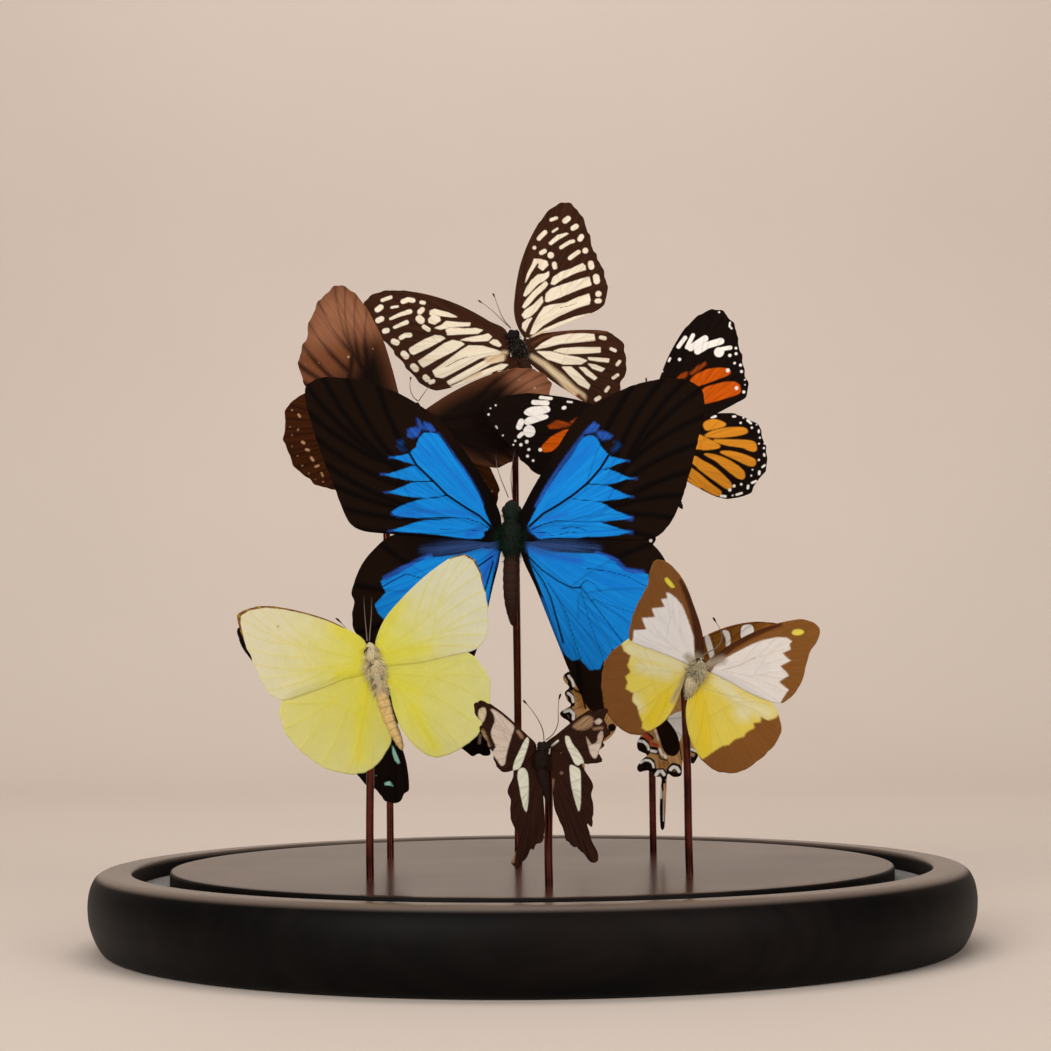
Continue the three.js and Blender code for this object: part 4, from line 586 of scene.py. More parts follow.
    "swordtail_hindwing_right": """
    dark .75 -1.6,-18.3 .4,-20; rust .7 -1.4,-19 0,-20.4; .6 .4,-21.6 2.3,-22.2;
    dark .5 .2,-22.9 2,-23.2;
    fill -4,-21.2 -3.4,-19.9 -2,-19.6 -.2,-21 .2,-23 -.4,-25 -2,-25.2 -3.8,-23.8;
    white .42 -3.3,-20.8 -1.9,-21 -.8,-22.1 -.4,-23.3; dark .7 .6,-23.9 2,-24.3;
    white .42 .4,-23.8 1.8,-24.1;
    dark fill 2,-16 4.8,-15.5 6.2,-18.2 8,-21.5 8.6,-23.4 7.6,-25 5.6,-25.2 4,-23.5 3,-20;
    white .22 1.7,-17.5 2.5,-20.6; .4 3,-23.4 3.6,-24.8 4.8,-25.8; dark .25 2.2,-24 3.2,-26.2 5,-26.7;
    white fill 5.6,-14 9.8,-12 10.4,-15 9.8,-19 8.6,-21.2 7.4,-18.5; dark .3 6.4,-16.4 8.2,-17.2;
    .22 8.6,-20.8 9.6,-26.6;
    fill -4,-28.8 -3.6,-27 -2,-25.8 0,-25.8 1.4,-27 1.6,-29.6 .6,-30.4 -1,-30 -3.4,-30.6;
    white .34 -3,-27.4 -1.6,-26.6 -.2,-26.7 .8,-27.7 1,-28.7;
    dark .95 1.2,-31.2 2,-30.1 3.6,-30 4.6,-31.4; white .5 1.7,-31.1 2.4,-30.1 3.5,-30 4.2,-31;
    dark .5 .8,-32.6 2.2,-31.6 3.6,-31.7 4.2,-33.2; 1.05 5.9,-29.7 7,-28.5 8.3,-28.9 9,-30.4;
    white .5 6.1,-29.5 7,-28.7 8,-29 8.7,-30.1;
    dark fill 4.8,-31.7 6,-30.5 7.4,-30.1 9.3,-30.5 9.6,-32 7,-32.4; .8 12.4,-26.3 13.3,-27.2 14.6,-25;
    .75 12.2,-23.6 14.2,-24.2; white .4 12.4,-23.4 14,-24; dark .7 3.2,-33 3.4,-40 3.4,-47;
    white .3 2.6,-33 3.1,-35.6 3.1,-38; .1 3.9,-36 3.8,-45; tinge .9 9.4,-22.4 10.4,-25;
    1 3.4,-28 5,-27.6""",
    "swordtail_hindwing_left": """
    dark 1 -24.8,-.6 -23.8,-2.2 -23.6,-4.4; white .42 -24.4,-1 -23.3,-2.4 -22.9,-4;
    dark 1 -25,-5.8 -23.8,-7 -23.6,-9.4; white .42 -24.6,-6.2 -23.4,-7.2 -23.1,-8.8;
    dark 1.1 -26.2,-11.6 -24.4,-11.4 -23.3,-13 -23.5,-15; 1.2 -26.2,-13 -25.2,-15 -24,-17.4;
    white .48 -25.7,-11.7 -24.1,-11.3 -23,-12.5 -23.1,-14; dark .3 -22.6,-5.2 -20.4,-6.4 -19.4,-10.8;
    tinge 1.4 -21.5,-6 -20.2,-10; rust .6 -15,-12.6 -14.2,-13.1; white .35 -15.7,-14.5 -14.7,-14.7;
    dark 1.2 -11.5,-16.7; .25 -20.8,-24 -20.9,-36""",
    "bluebottle_hindwing_left": """
    green cut 1,-16.4 1.6,-17.2 3.5,-21.8 3,-22.3 1.9,-21.2 1.2,-19; .18 -3.7,-25.6;
    cut -1.2,-27.6 .5,-27.3 1.6,-29 .2,-28.5 -1.1,-28.5; .6 -6,-12 -5,-6""",
    "bluebottle_hindwing_right": """
    dusk .4 27.1,-16.2 27.4,-13.8; green .7 9,-3 16,-9; .35 24,-16; .35 20,-13.6""",
    "bluebottle_forewing_left": """
    green .9 -34,14 -31,11; 1.1 -29,12.5 -26.5,7.5; 1.3 -23.5,10.5 -21.5,4; 1.3 -17.5,8 -16,1;
    1.1 -11,5 -10,0""",
    "bluebottle_forewing_right": """
    green .8 9,33.5 12,31; 1 7,27.5 12,25; 1.2 5,21.5 11,19.5; 1.2 3,15 8.5,13.5; 1 2,9 5.5,8""",
}

# Feelers, in front view from the head outwards as x,z.
FEELERS = {
    "zebra": (
        "-1.9,6.4 -4.2,8.6 -7,11.5 -9.8,13.9 -12.4,15.7",
        "-1.9,6.6 -3.6,8.6 -5,11 -6.3,14.6 -7,16.6 -7.6,18",
    ),
    "crow": ("2.9,7.4 1.5,8.7 .7,10.6 .5,12.6 .8,14.8", "3.1,7.4 4,8.8 5.2,10.4 6.6,12.2"),
    "tiger": ("-3.8,8.6 -2.2,11.6 -1,15 -.8,19 -.8,22.4", "-4.2,8.6 -6.5,11 -9.5,14.5 -11.5,18"),
    "blue": ("-.4,12.4 -1.4,15 -2.6,18 -3.6,21.5 -4,25", ".8,12.4 .6,15 .4,18.5 .9,22.5 1.6,26"),
    "yellow": ("-1.7,7.3 -2,10.5 -2.3,14 -2.5,17.5 -2.5,19.4", "-1.1,7.3 -.9,10.5 -.6,14 -.5,17.5 -.4,19.2"),
    "pied": ("1.5,3.1 3.2,4.1 5.2,5.2 6.9,7.3 6.6,10 5.4,12.2 4.6,13.5",),
    "dragontail": (
        "-.2,2.2 -.4,4.4 -1.4,7 -3.2,9.8 -5.4,12.4",
        ".3,2.2 2.2,3.8 3.4,6.4 3.5,10 3.7,12.4 4.2,14",
    ),
    "swordtail": ("3,6.6 2.4,9.5 1.5,13 .6,16.5", "3.6,6.5 5,9 7,12 9,15"),
    "bluebottle": ("-3.6,6.8 -6.5,11 -10.5,16 -14,20 -15.6,21.4", "-3.3,7 -3.2,11 -2.8,15 -2.4,19"),
}

# Wing paint.
# ground: the two colours of the scales between the marks. hind: the same on the hindwings, if different.
# cell: side of a mesh square in millimetres. vein: colour, half width, strength.
# layers: mark layer, its two colours, softness and raggedness of its edge in millimetres.
# grow: how far a layer's marks spread. within: a layer that only shows inside another one.
# even: how far the streaks turn to the second colour, 1 unless given.
# ribs: beyond this distance from the root the first ground colour follows the veins, the second fills in.
# fade: colour that the wing turns to, between two distances from the root.
# dust: colour of the hair at the root and its reach. under: colour of the underside and its strength.
# scallop: depth of the hollows between vein ends. torn: size of the nicks along the edge.
# thin: how much light passes through the scales. clear: how clear the panes are.
PAINT = {
    "zebra": {
        "ground": ("umber", "umber_light"), "cell": 0.34, "vein": ("soot", 0.12, 0.12), "scallop": 0.5,
        "grow": {"pale": 0.14},
        "layers": [("pale", "ivory", "ivory_shade", 0.2, 0.3), ("warm", "straw", "ivory_shade", 0.8, 0.5),
                   ("rust", "bark_light", "umber_light", 0.5, 0.4), ("ink", "umber", "umber", 0.1, 0.1)],
        "under": ("umber_light", 0.35),
    },
    "crow": {
        "ground": ("bark", "bark_light"), "hind": ("bark_red", "bark_red_light"), "cell": 0.46,
        "vein": ("soot_warm", 0.2, 0.35), "ribs": 8.0, "scallop": 0.55, "even": 0.5,
        "layers": [("dark", "soot", "soot_warm", 6.0, 3.0), ("sheen", "rose_grey", "bark_light", 5.0, 4.0),
                   ("dot", "fawn", "fawn", 0.2, 0.15)],
        "under": ("bark_light", 0.5),
    },
    "tiger": {
        "ground": ("soot_warm", "soot"), "cell": 0.36, "vein": ("soot", 0.12, 0.15),
        "scallop": 0.5, "even": 0.6, "grow": {"orange": 0.06, "amber": 0.15, "white": 0.03},
        "layers": [("ember", "orange_deep", "bark_red_light", 0.5, 0.9),
                   ("orange", "orange", "orange_deep", 0.25, 0.3),
                   ("amber", "amber", "amber_deep", 0.25, 0.3), ("white", "chalk", "chalk", 0.16, 0.16)],
        "under": ("bark_light", 0.4),
    },
    "blue": {
        "ground": ("soot", "soot_brown"), "cell": 0.42, "vein": ("soot", 0.22, 0.2), "ribs": 30.0,
        "dust": ("moss", 6.0), "even": 0.75, "grow": {"ink": 0.03, "violet": 0.12},
        "layers": [("mist", "azure_dark", "soot_blue", 0.8, 1.2), ("violet", "iris", "azure_dark", 0.5, 1.2),
                   ("azure", "azure", "azure_deep", 0.24, 0.7), ("deep", "azure_deep", "iris", 1.3, 1.0),
                   ("dusk", "slate_blue", "azure_dark", 2.4, 3.6),
                   ("ink", "soot_blue", "soot_blue", 0.14, 0.08)],
        "under": ("bark", 0.8),
    },
    "yellow": {
        "ground": ("lemon", "lemon_shade"), "hind": ("lemon_green", "lemon_shade"), "cell": 0.46,
        "vein": ("lemon_deep", 0.2, 0.28), "grow": {"brown": 0.2}, "thin": 0.6,
        "fade": ("cream_yellow", 9.0, 34.0), "dust": ("taupe", 4.5),
        "layers": [("gold", "lemon_deep", "lemon", 3.4, 1.2), ("brown", "bark_light", "bark", 0.14, 0.1),
                   ("dot", "taupe", "taupe", 0.3, 0.2)],
        "under": ("lemon_green", 0.5),
    },
    "pied": {
        "ground": ("chestnut", "chestnut_dark"), "cell": 0.4, "vein": ("chestnut_dark", 0.08, 0.1),
        "dust": ("taupe", 5.0), "even": 0.55, "thin": 0.5, "within": {"deep": "gold", "cream": "gold"},
        "layers": [("costa", "umber", "soot_warm", 0.5, 0.7), ("white", "milk", "milk_shade", 0.28, 0.6),
                   ("gold", "marigold", "marigold_pale", 0.35, 0.7),
                   ("deep", "marigold_deep", "marigold", 2.4, 1.5),
                   ("cream", "cream_yellow", "marigold_pale", 2.0, 1.5),
                   ("spot", "lemon_deep", "marigold_pale", 0.25, 0.25),
                   ("smoke", "smoke", "taupe", 1.1, 1.0), ("ink", "taupe", "taupe", 0.25, 0.1)],
        "under": ("marigold_pale", 0.3),
    },
    "dragontail": {
        "ground": ("sepia", "sepia_light"), "cell": 0.3, "vein": ("soot_warm", 0.1, 0.2),
        "torn": 1.1, "even": 0.6, "clear": 0.55,
        "layers": [("tan", "tan", "sepia_light", 0.4, 0.5), ("band", "celadon", "celadon_shade", 0.18, 0.2),
                   ("pane", "pane", "pane", 0.25, 0.3)],
        "under": ("sepia_light", 0.4),
    },
    "swordtail": {
        "ground": ("bracken", "bracken_dark"), "hind": ("sand", "sand_dark"), "cell": 0.3,
        "vein": ("umber", 0.1, 0.3),
        "layers": [("tinge", "sand_dark", "bracken", 1.0, 1.0), ("dark", "soot_warm", "soot", 0.16, 0.18),
                   ("rust", "rust", "rust", 0.35, 0.3), ("white", "chalk", "chalk", 0.18, 0.2)],
        "under": ("sand", 0.6),
    },
    "bluebottle": {
        "ground": ("soot", "soot_warm"), "cell": 0.46, "vein": ("soot", 0.12, 0.4),
        "layers": [("green", "sea_green", "sea_green_shade", 0.2, 0.25),
                   ("dusk", "taupe", "taupe", 0.3, 0.2)],
        "under": ("bark_red", 0.6),
    },
}

# Bodies: thorax and abdomen colours, hair colours, how many hairs and how long they are.
COATS = {
    "zebra": ("soot", "umber", "soot", "smoke", 900, 1.3),
    "crow": ("soot_warm", "bark_red", "soot_warm", "bark_red", 700, 1.3),
    "tiger": ("soot", "soot_warm", "soot", "chalk", 600, 1.2),
    "blue": ("soot_green", "umber", "soot", "moss", 1800, 1.5),
    "yellow": ("stone", "buff", "wool", "taupe", 1500, 2.1),
    "pied": ("stone", "stone", "wool", "soot_warm", 1800, 2.2),
    "dragontail": ("soot_warm", "sepia", "umber", "soot_warm", 900, 1.2),
    "swordtail": ("umber", "umber_light", "umber", "bark_light", 600, 1.3),
    "bluebottle": ("soot", "soot_warm", "soot", "umber", 600, 1.2),
}

# How strongly dark blotches show on a body.
BLOTCHES = {"yellow": 0.9, "pied": 0.9, "blue": 0.6, "zebra": 0.3}

# How much narrower a body is than its stand-in.
SLIM = {"pied": 0.82, "yellow": 0.88}


def linear(code):
    """A colour written #rrggbb as linear light."""
    parts = [int(code[i : i + 2], 16) / 255 for i in (1, 3, 5)]
    return tuple(c / 12.92 if c <= 0.04045 else ((c + 0.055) / 1.055) ** 2.4 for c in parts)


def colour(name, description, code):
    """A colour property with its default."""
    return FloatVectorProperty(
        name=name, description=description, subtype="COLOR", size=3, min=0, max=1, default=linear(code)
    )


def length(name, description, millimetres, least=0.0):
    """A length property in metres, given in millimetres."""
    return FloatProperty(
        name=name, description=description, unit="LENGTH", precision=5,
        min=least * MM, default=millimetres * MM,
    )


class DISPLAY_PG_sizes(bpy.types.PropertyGroup):
    """Sizes of the display's pieces."""

    disc_radius: length("Disc radius", "Radius of the raised disc inside the groove", 102.5)
    groove_radius: length("Groove radius", "Outer radius of the groove for the dome's rim", 113)
    base_height: length("Base height", "Height of the base and of its disc", 22)
    groove_depth: length("Groove depth", "Depth of the groove below the disc", 6)
    flock_thickness: length("Flock thickness", "Thickness of the lining in the groove", 1)
    rod_diameter: length("Rod diameter", "Diameter of the copper rods", 2.1)
    wing_thickness: length("Wing thickness", "Thickness of a wing", 0.1)
    forewing_setback: length("Forewing setback", "Depth of the forewings behind the thorax's middle", 0.45)
    hindwing_setback: length("Hindwing setback", "Depth of the hindwings behind the thorax's middle", 0.6)
    pleat: length("Pleat", "How far a wing sinks between its veins", 0.12)
    wave: length("Wave", "How far a dried wing waves out of its plane", 0.4)
    base_steps: IntProperty(name="Base steps", description="Steps round the base", default=192, min=24)


class DISPLAY_PG_colours(bpy.types.PropertyGroup):
    """Colours of wood, metal, flock, wing scales and hair."""

    wood: colour("Wood", "Black stain on the base", "#050404")
    wood_brown: colour("Worn wood", "Brown that shows through the stain", "#120c0a")
    # The rim colour is a painted reflection: a lighter colour on the top of the black rim that stands in for
    # the light it mirrors.
    rim_painted_reflection: colour("Rim wood", "Rubbed stain on the top of the rim", "#74645a")
    disc_wood: colour("Disc wood", "Thinner stain on the disc", "#4b2b1e")
    flock: colour("Flock", "Lining of the groove", "#4a4541")
    copper: colour("Copper", "Rods", "#68332a")
    copper_dark: colour("Dull copper", "Tarnish on the rods", "#34160f")
    soot: colour("Soot", "Black scales", "#0a0504")
    soot_warm: colour("Warm soot", "Brownish black scales", "#170c07")
    soot_brown: colour("Brown soot", "Black scales that look brown", "#190d06")
    soot_blue: colour("Blue soot", "Black veins in the blue", "#06101f")
    soot_green: colour("Green soot", "Black body with green dust", "#0d1a10")
    moss: colour("Moss", "Green hair", "#133625")
    umber: colour("Umber", "Dark brown scales", "#321b0f")
    umber_light: colour("Light umber", "Lighter dark brown scales", "#402417")
    ivory: colour("Ivory", "Cream marks", "#f3e8d2")
    ivory_shade: colour("Ivory shade", "Shade in the cream marks", "#e6d6bb")
    straw: colour("Straw", "Tan tinge", "#cda871")
    bark: colour("Bark", "Brown scales", "#3c2114")
    bark_light: colour("Light bark", "Lighter brown scales", "#6f4229")
    bark_red: colour("Red bark", "Reddish brown scales", "#2c1204")
    bark_red_light: colour("Light red bark", "Lighter reddish brown scales", "#50280e")
    rose_grey: colour("Rose grey", "Pale sheen at the wing tips", "#926248")
    fawn: colour("Fawn", "Small pale dots", "#b78c68")
    orange: colour("Orange", "Orange patches", "#d25a06")
    orange_deep: colour("Deep orange", "Shade in the orange patches", "#a2420a")
    amber: colour("Amber", "Orange yellow rays", "#dd9128")
    amber_deep: colour("Deep amber", "Shade in the rays", "#c9781b")
    chalk: colour("Chalk", "White marks", "#f1ebe4")
    azure: colour("Azure", "Bright blue scales", "#168ee0")
    azure_deep: colour("Deep azure", "Shade in the blue", "#0f6fd0")
    azure_dark: colour("Dark azure", "Dark blue towards the border", "#123a78")
    iris: colour("Iris", "Violet blue at the edge of the blue", "#2c5cc0")
    slate_blue: colour("Slate blue", "Grey blue dust", "#3a5284")
    lemon: colour("Lemon", "Yellow scales", "#e1d23e")
    lemon_shade: colour("Lemon shade", "Shade in the yellow", "#d9ca50")
    lemon_green: colour("Green lemon", "Greenish yellow scales", "#d6ca47")
    lemon_deep: colour("Deep lemon", "Strong yellow near the body", "#ddc714")
    cream_yellow: colour("Cream yellow", "Pale tips of yellow wings", "#dccfa4")
    taupe: colour("Taupe", "Grey brown dots and folds", "#a3937c")
    chestnut: colour("Chestnut", "Brown tips", "#6c3c1e")
    chestnut_dark: colour("Dark chestnut", "Shade in the brown tips", "#5d3218")
    milk: colour("Milk", "White fields", "#e3d7ca")
    milk_shade: colour("Milk shade", "Shade in the white fields", "#d4c8be")
    marigold: colour("Marigold", "Yellow fields", "#dcbc38")
    marigold_pale: colour("Pale marigold", "Paler yellow", "#d8c56a")
    marigold_deep: colour("Deep marigold", "Strong yellow", "#dfb81e")
    smoke: colour("Smoke", "Grey at the wing roots", "#7d7068")
    sepia: colour("Sepia", "Brown of the smallest wings", "#1c0c07")
    sepia_light: colour("Light sepia", "Lighter brown of the smallest wings", "#3a2014")
    tan: colour("Tan", "Half clear brown", "#9a7a5c")
    celadon: colour("Celadon", "Pale green band", "#cfcdbb")
    celadon_shade: colour("Celadon shade", "Shade in the band", "#b3ad98")
    pane: colour("Pane", "Clear wing pane", "#cdb8a6")
    bracken: colour("Bracken", "Warm brown scales", "#96601f")
    bracken_dark: colour("Dark bracken", "Darker warm brown scales", "#7a4a1a")
    sand: colour("Sand", "Tan scales", "#cd9f69")
    sand_dark: colour("Dark sand", "Darker tan scales", "#a97a48")
    rust: colour("Rust", "Red crescents", "#b44a2c")
    sea_green: colour("Sea green", "Pale green windows", "#9fd0bd")
    sea_green_shade: colour("Sea green shade", "Shade in the windows", "#7fb8a4")
    stone: colour("Stone", "Grey hair", "#bcae8c")
    wool: colour("Wool", "Pale hair", "#e4d9b6")
    buff: colour("Buff", "Tan abdomen", "#cfae72")
    floor: colour("Floor", "Pale floor and backdrop", "#dbcdc2")


class Wire:
    """A socket that a shader value comes out of, with Python's operators for its maths."""

    def __init__(self, graph, socket):
        self.graph = graph
        self.socket = socket

    def maths(self, operation, *values):
        """A Math node on this graph."""
        return self.graph.node("ShaderNodeMath", {"operation": operation}, dict(enumerate(values)))

    def __add__(self, other):
        return self.maths("ADD", self, other)

    def __radd__(self, other):
        return self.maths("ADD", other, self)

    def __sub__(self, other):
        return self.maths("SUBTRACT", self, other)

    def __rsub__(self, other):
        return self.maths("SUBTRACT", other, self)

    def __mul__(self, other):
        return self.maths("MULTIPLY", self, other)

    def __rmul__(self, other):
        return self.maths("MULTIPLY", other, self)


class Graph:
    """The nodes of one material."""

    def __init__(self, name, **constants):
        self.material = bpy.data.materials.new(name)
        self.material.use_nodes = True
        self.tree = self.material.node_tree
        self.shader = self.tree.nodes["Principled BSDF"]
        for key, value in constants.items():
            self.shader.inputs[key.replace("_", " ")].default_value = value

    def put(self, value, socket):
        """Links a wire to a socket, or sets the socket to a plain value."""
        if isinstance(value, Wire):
            self.tree.links.new(value.socket, socket)
        else:
            socket.default_value = value

    def node(self, kind, settings=None, sockets=None, out=0):
        """Adds a node, sets it and returns one of its outputs."""
        node = self.tree.nodes.new(kind)
        for key, value in (settings or {}).items():
            setattr(node, key, value)
        for key, value in (sockets or {}).items():
            self.put(value, node.inputs[key])
        return Wire(self, node.outputs[out])

    def surface(self, **sockets):
        """Fills in the shader and returns the finished material."""
        for key, value in sockets.items():
            self.put(value, self.shader.inputs[key.replace("_", " ")])
        return self.material

    def attribute(self, name):
        """A number that the mesh keeps for each vertex."""
        return self.node("ShaderNodeAttribute", {"attribute_name": name}, out="Fac")

    def place(self):
        """The place on the display in metres."""
        return self.node("ShaderNodeTexCoord", out="Object")

    def noise(self, vector, scale, detail=2.0, rough=0.5):
        """Cloudy values between 0 and 1."""
        sockets = {"Vector": vector, "Scale": scale, "Detail": detail, "Roughness": rough}
        return self.node("ShaderNodeTexNoise", {}, sockets)

    def ramp(self, value, start, end, low=0.0, high=1.0):
        """Rises smoothly from low to high as value goes from start to end."""
        sockets = {"Value": value, "From Min": start, "From Max": end, "To Min": low, "To Max": high}
        return self.node("ShaderNodeMapRange", {"interpolation_type": "SMOOTHSTEP"}, sockets)

    def blend(self, factor, first, second):
        """Goes from the first colour to the second as factor goes from 0 to 1.

        The colour sockets share their names with others of the node, so they are given by number.
        """
        first, second = [c if isinstance(c, Wire) else (*c, 1.0) for c in (first, second)]
        return self.node("ShaderNodeMix", {"data_type": "RGBA"}, {0: factor, 6: first, 7: second}, out=2)

    def mixed(self, factor, first, second):
        """Goes from one of the panel's colours to another."""
        return self.blend(factor, paint_colour(first), paint_colour(second))

    def paint(self, tint, mask, name):
        """A colour with another one of the panel's colours laid over it where mask is 1."""
        return self.blend(mask, tint, paint_colour(name))

    def shade(self, tint, strength):
        """A colour made lighter or darker by a value around 1."""
        return self.node("ShaderNodeVectorMath", {"operation": "SCALE"}, {0: tint, "Scale": strength})

    def bump(self, height, strength, distance):
        """A normal that shows height as a relief."""
        return self.node("ShaderNodeBump", {}, {"Strength": strength, "Distance": distance, "Height": height})


def points(text):
    """Points written as numbers with commas, with a space between points."""
    return np.array([[float(v) for v in point.split(",")] for point in text.split()])


def rounded(line, closed, step):
    """A smooth curve through the points of line, with a point every step."""
    count = len(line)
    curve = []
    for i in range(count if closed else count - 1):
        if closed:
            a, b, c, d = (line[(i + k) % count] for k in (-1, 0, 1, 2))
        else:
            a, b, c, d = (line[min(max(i + k, 0), count - 1)] for k in (-1, 0, 1, 2))
        pieces = max(int(np.linalg.norm((c - b)[:2]) / step), 1)
        for t in np.arange(pieces) / pieces:
            curve.append(
                b + 0.5 * t * (c - a + t * (2 * a - 5 * b + 4 * c - d + t * (3 * (b - c) + d - a)))
            )
    if not closed:
        curve.append(line[-1])
    return np.array(curve)


def to_line(places, line):
    """Distance from each place to the line, and how far along the line its nearest point is."""
    if len(line) == 1:
        return np.hypot(*(places - line[0]).T), np.zeros(len(places))
    best = np.full(len(places), 1e9)
    along = np.zeros(len(places))
    for i, (a, b) in enumerate(zip(line, line[1:])):
        ab = b - a
        t = np.clip((places - a) @ ab / max(ab @ ab, 1e-9), 0, 1)
        distance = np.hypot(*(places - a - t[:, None] * ab).T)
        near = distance < best
        best[near] = distance[near]
        along[near] = (i + t[near]) / (len(line) - 1)
    return best, along


def is_inside(places, ring):
    """Which places lie inside the closed ring."""
    x, y = places.T
    odd = np.zeros(len(places), bool)
    for a, b in zip(ring, np.roll(ring, -1, 0)):
        crosses = (a[1] > y) != (b[1] > y)
        odd ^= crosses & (x < (b[0] - a[0]) * (y - a[1]) / (b[1] - a[1] + 1e-12) + a[0])
    return odd


def mark_fields(text, places):
    """For each layer, the distance of each place to the edge of its nearest mark, negative inside."""
    fields = {}
    for mark in filter(None, (m.strip() for m in text.split(";"))):
        kind, rest = mark.split(None, 1)
        if kind.isalpha() and kind not in PATCHES:
            layer = kind
            kind, rest = rest.split(None, 1)
        line = points(rest)
        if kind in PATCHES:
            if kind == "fill":
                line = rounded(line, True, 0.5)
            distance = to_line(places, np.vstack([line, line[:1]]))[0]
            distance[is_inside(places, line)] *= -1
        else:
            ends = [float(w) for w in kind.split(">")]
            distance, along = to_line(places, line)
            distance = distance - ends[0] - (ends[-1] - ends[0]) * along
        fields[layer] = np.minimum(fields.get(layer, FAR), distance)
    return fields


def wing_veins(ring, fore):
    """Lines of the veins, from the root and the cell to the margin."""
    steps = np.hypot(*np.diff(ring, axis=0).T)
    arc = np.concatenate([[0], np.cumsum(steps)]) / steps.sum()

    def margin(fraction):
        return np.array([np.interp(fraction, arc, ring[:, k]) for k in (0, 1)])

    root = (ring[0] + ring[-1]) / 2
    apex = arc[np.argmax(np.hypot(*(ring - root).T))]
    if fore:
        chord = margin(apex) - root
        offset = np.abs(np.cross(chord, ring - root)) * (arc > apex)
        corner = max(arc[np.argmax(offset)], apex + 0.08)
        span = corner - apex
        ends = [*(apex * np.array(FRONT_ENDS)), *(apex + span * np.array(OUTER_ENDS))]
        upper = root + 0.56 * (margin(apex + 0.2 * span) - root)
        lower = root + 0.5 * (margin(apex + 0.7 * span) - root)
    else:
        ends = list(np.linspace(0.2, 0.86, 9))
        upper = root + 0.45 * (margin(0.38) - root)
        lower = root + 0.42 * (margin(0.64) - root)
    starts = [root + share * (upper - root) for share in (0.62, 0.85)]
    starts += [upper, upper, upper, (upper + lower) / 2, lower]
    starts += [root + share * (lower - root) for share in (0.85, 0.6, 0.15)]
    lines = [np.array([root, upper]), np.array([root, lower]), np.array([upper, lower])]
    if not fore:
        starts = starts[1:]
    for start, end in zip(starts, map(margin, ends)):
        t = np.linspace(0, 1, 7)[:, None]
        bow = 0.05 * np.array([-(end - start)[1], (end - start)[0]]) * (4 * t * (1 - t))
        lines.append(start + (end - start) * t + bow)
    return lines


def onto_wing(x, z, at, tilt, depth):
    """Slides front-view places along the line of sight onto the wing's tilted plane."""
    at = np.array(at)
    sight = np.stack([at[0] + x, np.full_like(x, at[1]), at[2] + z], -1) - VIEWER
    across, up = tilt
    away = VIEWER - at
    reach = depth + across * away[0] + up * away[2] - away[1]
    run = reach / (sight[:, 1] - across * sight[:, 0] - up * sight[:, 2])
    return VIEWER + run[:, None] * sight


def wing_sheet(ring, cell, thickness):
    """A closed thin sheet with the outline of ring, flat, in a fine mesh of squares."""
    low, high = ring.min(0) - cell, ring.max(0) + cell
    middle, span = (low + high) / 2, high - low
    bm = bmesh.new()
    frame = Matrix.Translation((*middle, 0)) @ Matrix.Diagonal((*span, 1, 1))
    bmesh.ops.create_grid(
        bm, x_segments=round(span[0] / cell), y_segments=round(span[1] / cell), size=0.5, matrix=frame
    )
    centres = np.array([f.calc_center_median()[:2] for f in bm.faces])
    keep = is_inside(centres, ring)
    bmesh.ops.delete(bm, geom=[f for f, k in zip(bm.faces, keep) if not k], context="FACES")
    for _ in range(TRIM_ROUNDS):
        pinched = {f for v in bm.verts if sum(e.is_boundary for e in v.link_edges) > 2 for f in v.link_faces}
        if not pinched:
            break
        bmesh.ops.delete(bm, geom=list(pinched), context="FACES")
    edge = [v for v in bm.verts if v.is_boundary]
    places = np.array([v.co[:2] for v in edge])
    closed = np.vstack([ring, ring[:1]])
    along = to_line(places, closed)[1] * (len(closed) - 1)
    for v, s in zip(edge, along):
        i = min(int(s), len(closed) - 2)
        v.co.xy = closed[i] + (s - i) * (closed[i + 1] - closed[i])
    border = set(edge)
    near = {v for e in edge for f in e.link_faces for v in f.verts} - border
    near |= {v for n in near for f in n.link_faces for v in f.verts} - border
    for _ in range(EVEN_ROUNDS):
        bmesh.ops.smooth_vert(
            bm, verts=list(near), factor=0.5, use_axis_x=True, use_axis_y=True, use_axis_z=False
        )
    bmesh.ops.recalc_face_normals(bm, faces=bm.faces)
    bmesh.ops.solidify(bm, geom=bm.faces[:], thickness=thickness)
    bmesh.ops.recalc_face_normals(bm, faces=bm.faces)
    return bm


def add_piece(bm, name, material, nodes=(), crease=None):
    """Turns a bmesh into a piece of the display that rides on the frame."""
    mesh = bpy.data.meshes.new(name)
    bm.to_mesh(mesh)
    bm.free()
    piece = bpy.data.objects.new(name, mesh)
    bpy.context.scene.collection.objects.link(piece)
    mesh.materials.append(material)
    mesh.shade_smooth()
    if crease is not None:
        mesh.set_sharp_from_angle(angle=math.radians(crease))
    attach(piece, "root")
    if nodes:
        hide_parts(*nodes)
    return piece


def store(mesh, name, values):
    """Keeps one number for each vertex, for the material to read."""
    attribute = mesh.attributes.new(name, "FLOAT", "POINT")
    attribute.data.foreach_set("value", np.asarray(values, np.float32))


def turned(profile, steps, closed=False):
    """A solid turned round the upright axis from a profile of radius,height in metres."""
    bm = bmesh.new()
    verts = [bm.verts.new((radius, 0, height)) for radius, height in profile]
    pairs = list(zip(verts, verts[1:] + verts[:1] if closed else verts[1:]))
    edges = [bm.edges.new(pair) for pair in pairs]
    bmesh.ops.spin(
        bm, geom=verts + edges, cent=(0, 0, 0), axis=(0, 0, 1), dvec=(0, 0, 0), angle=math.tau, steps=steps,
        use_merge=True, use_duplicate=False,
    )
    bmesh.ops.remove_doubles(bm, verts=bm.verts, dist=1e-6)
    bmesh.ops.recalc_face_normals(bm, faces=bm.faces)
    return bm


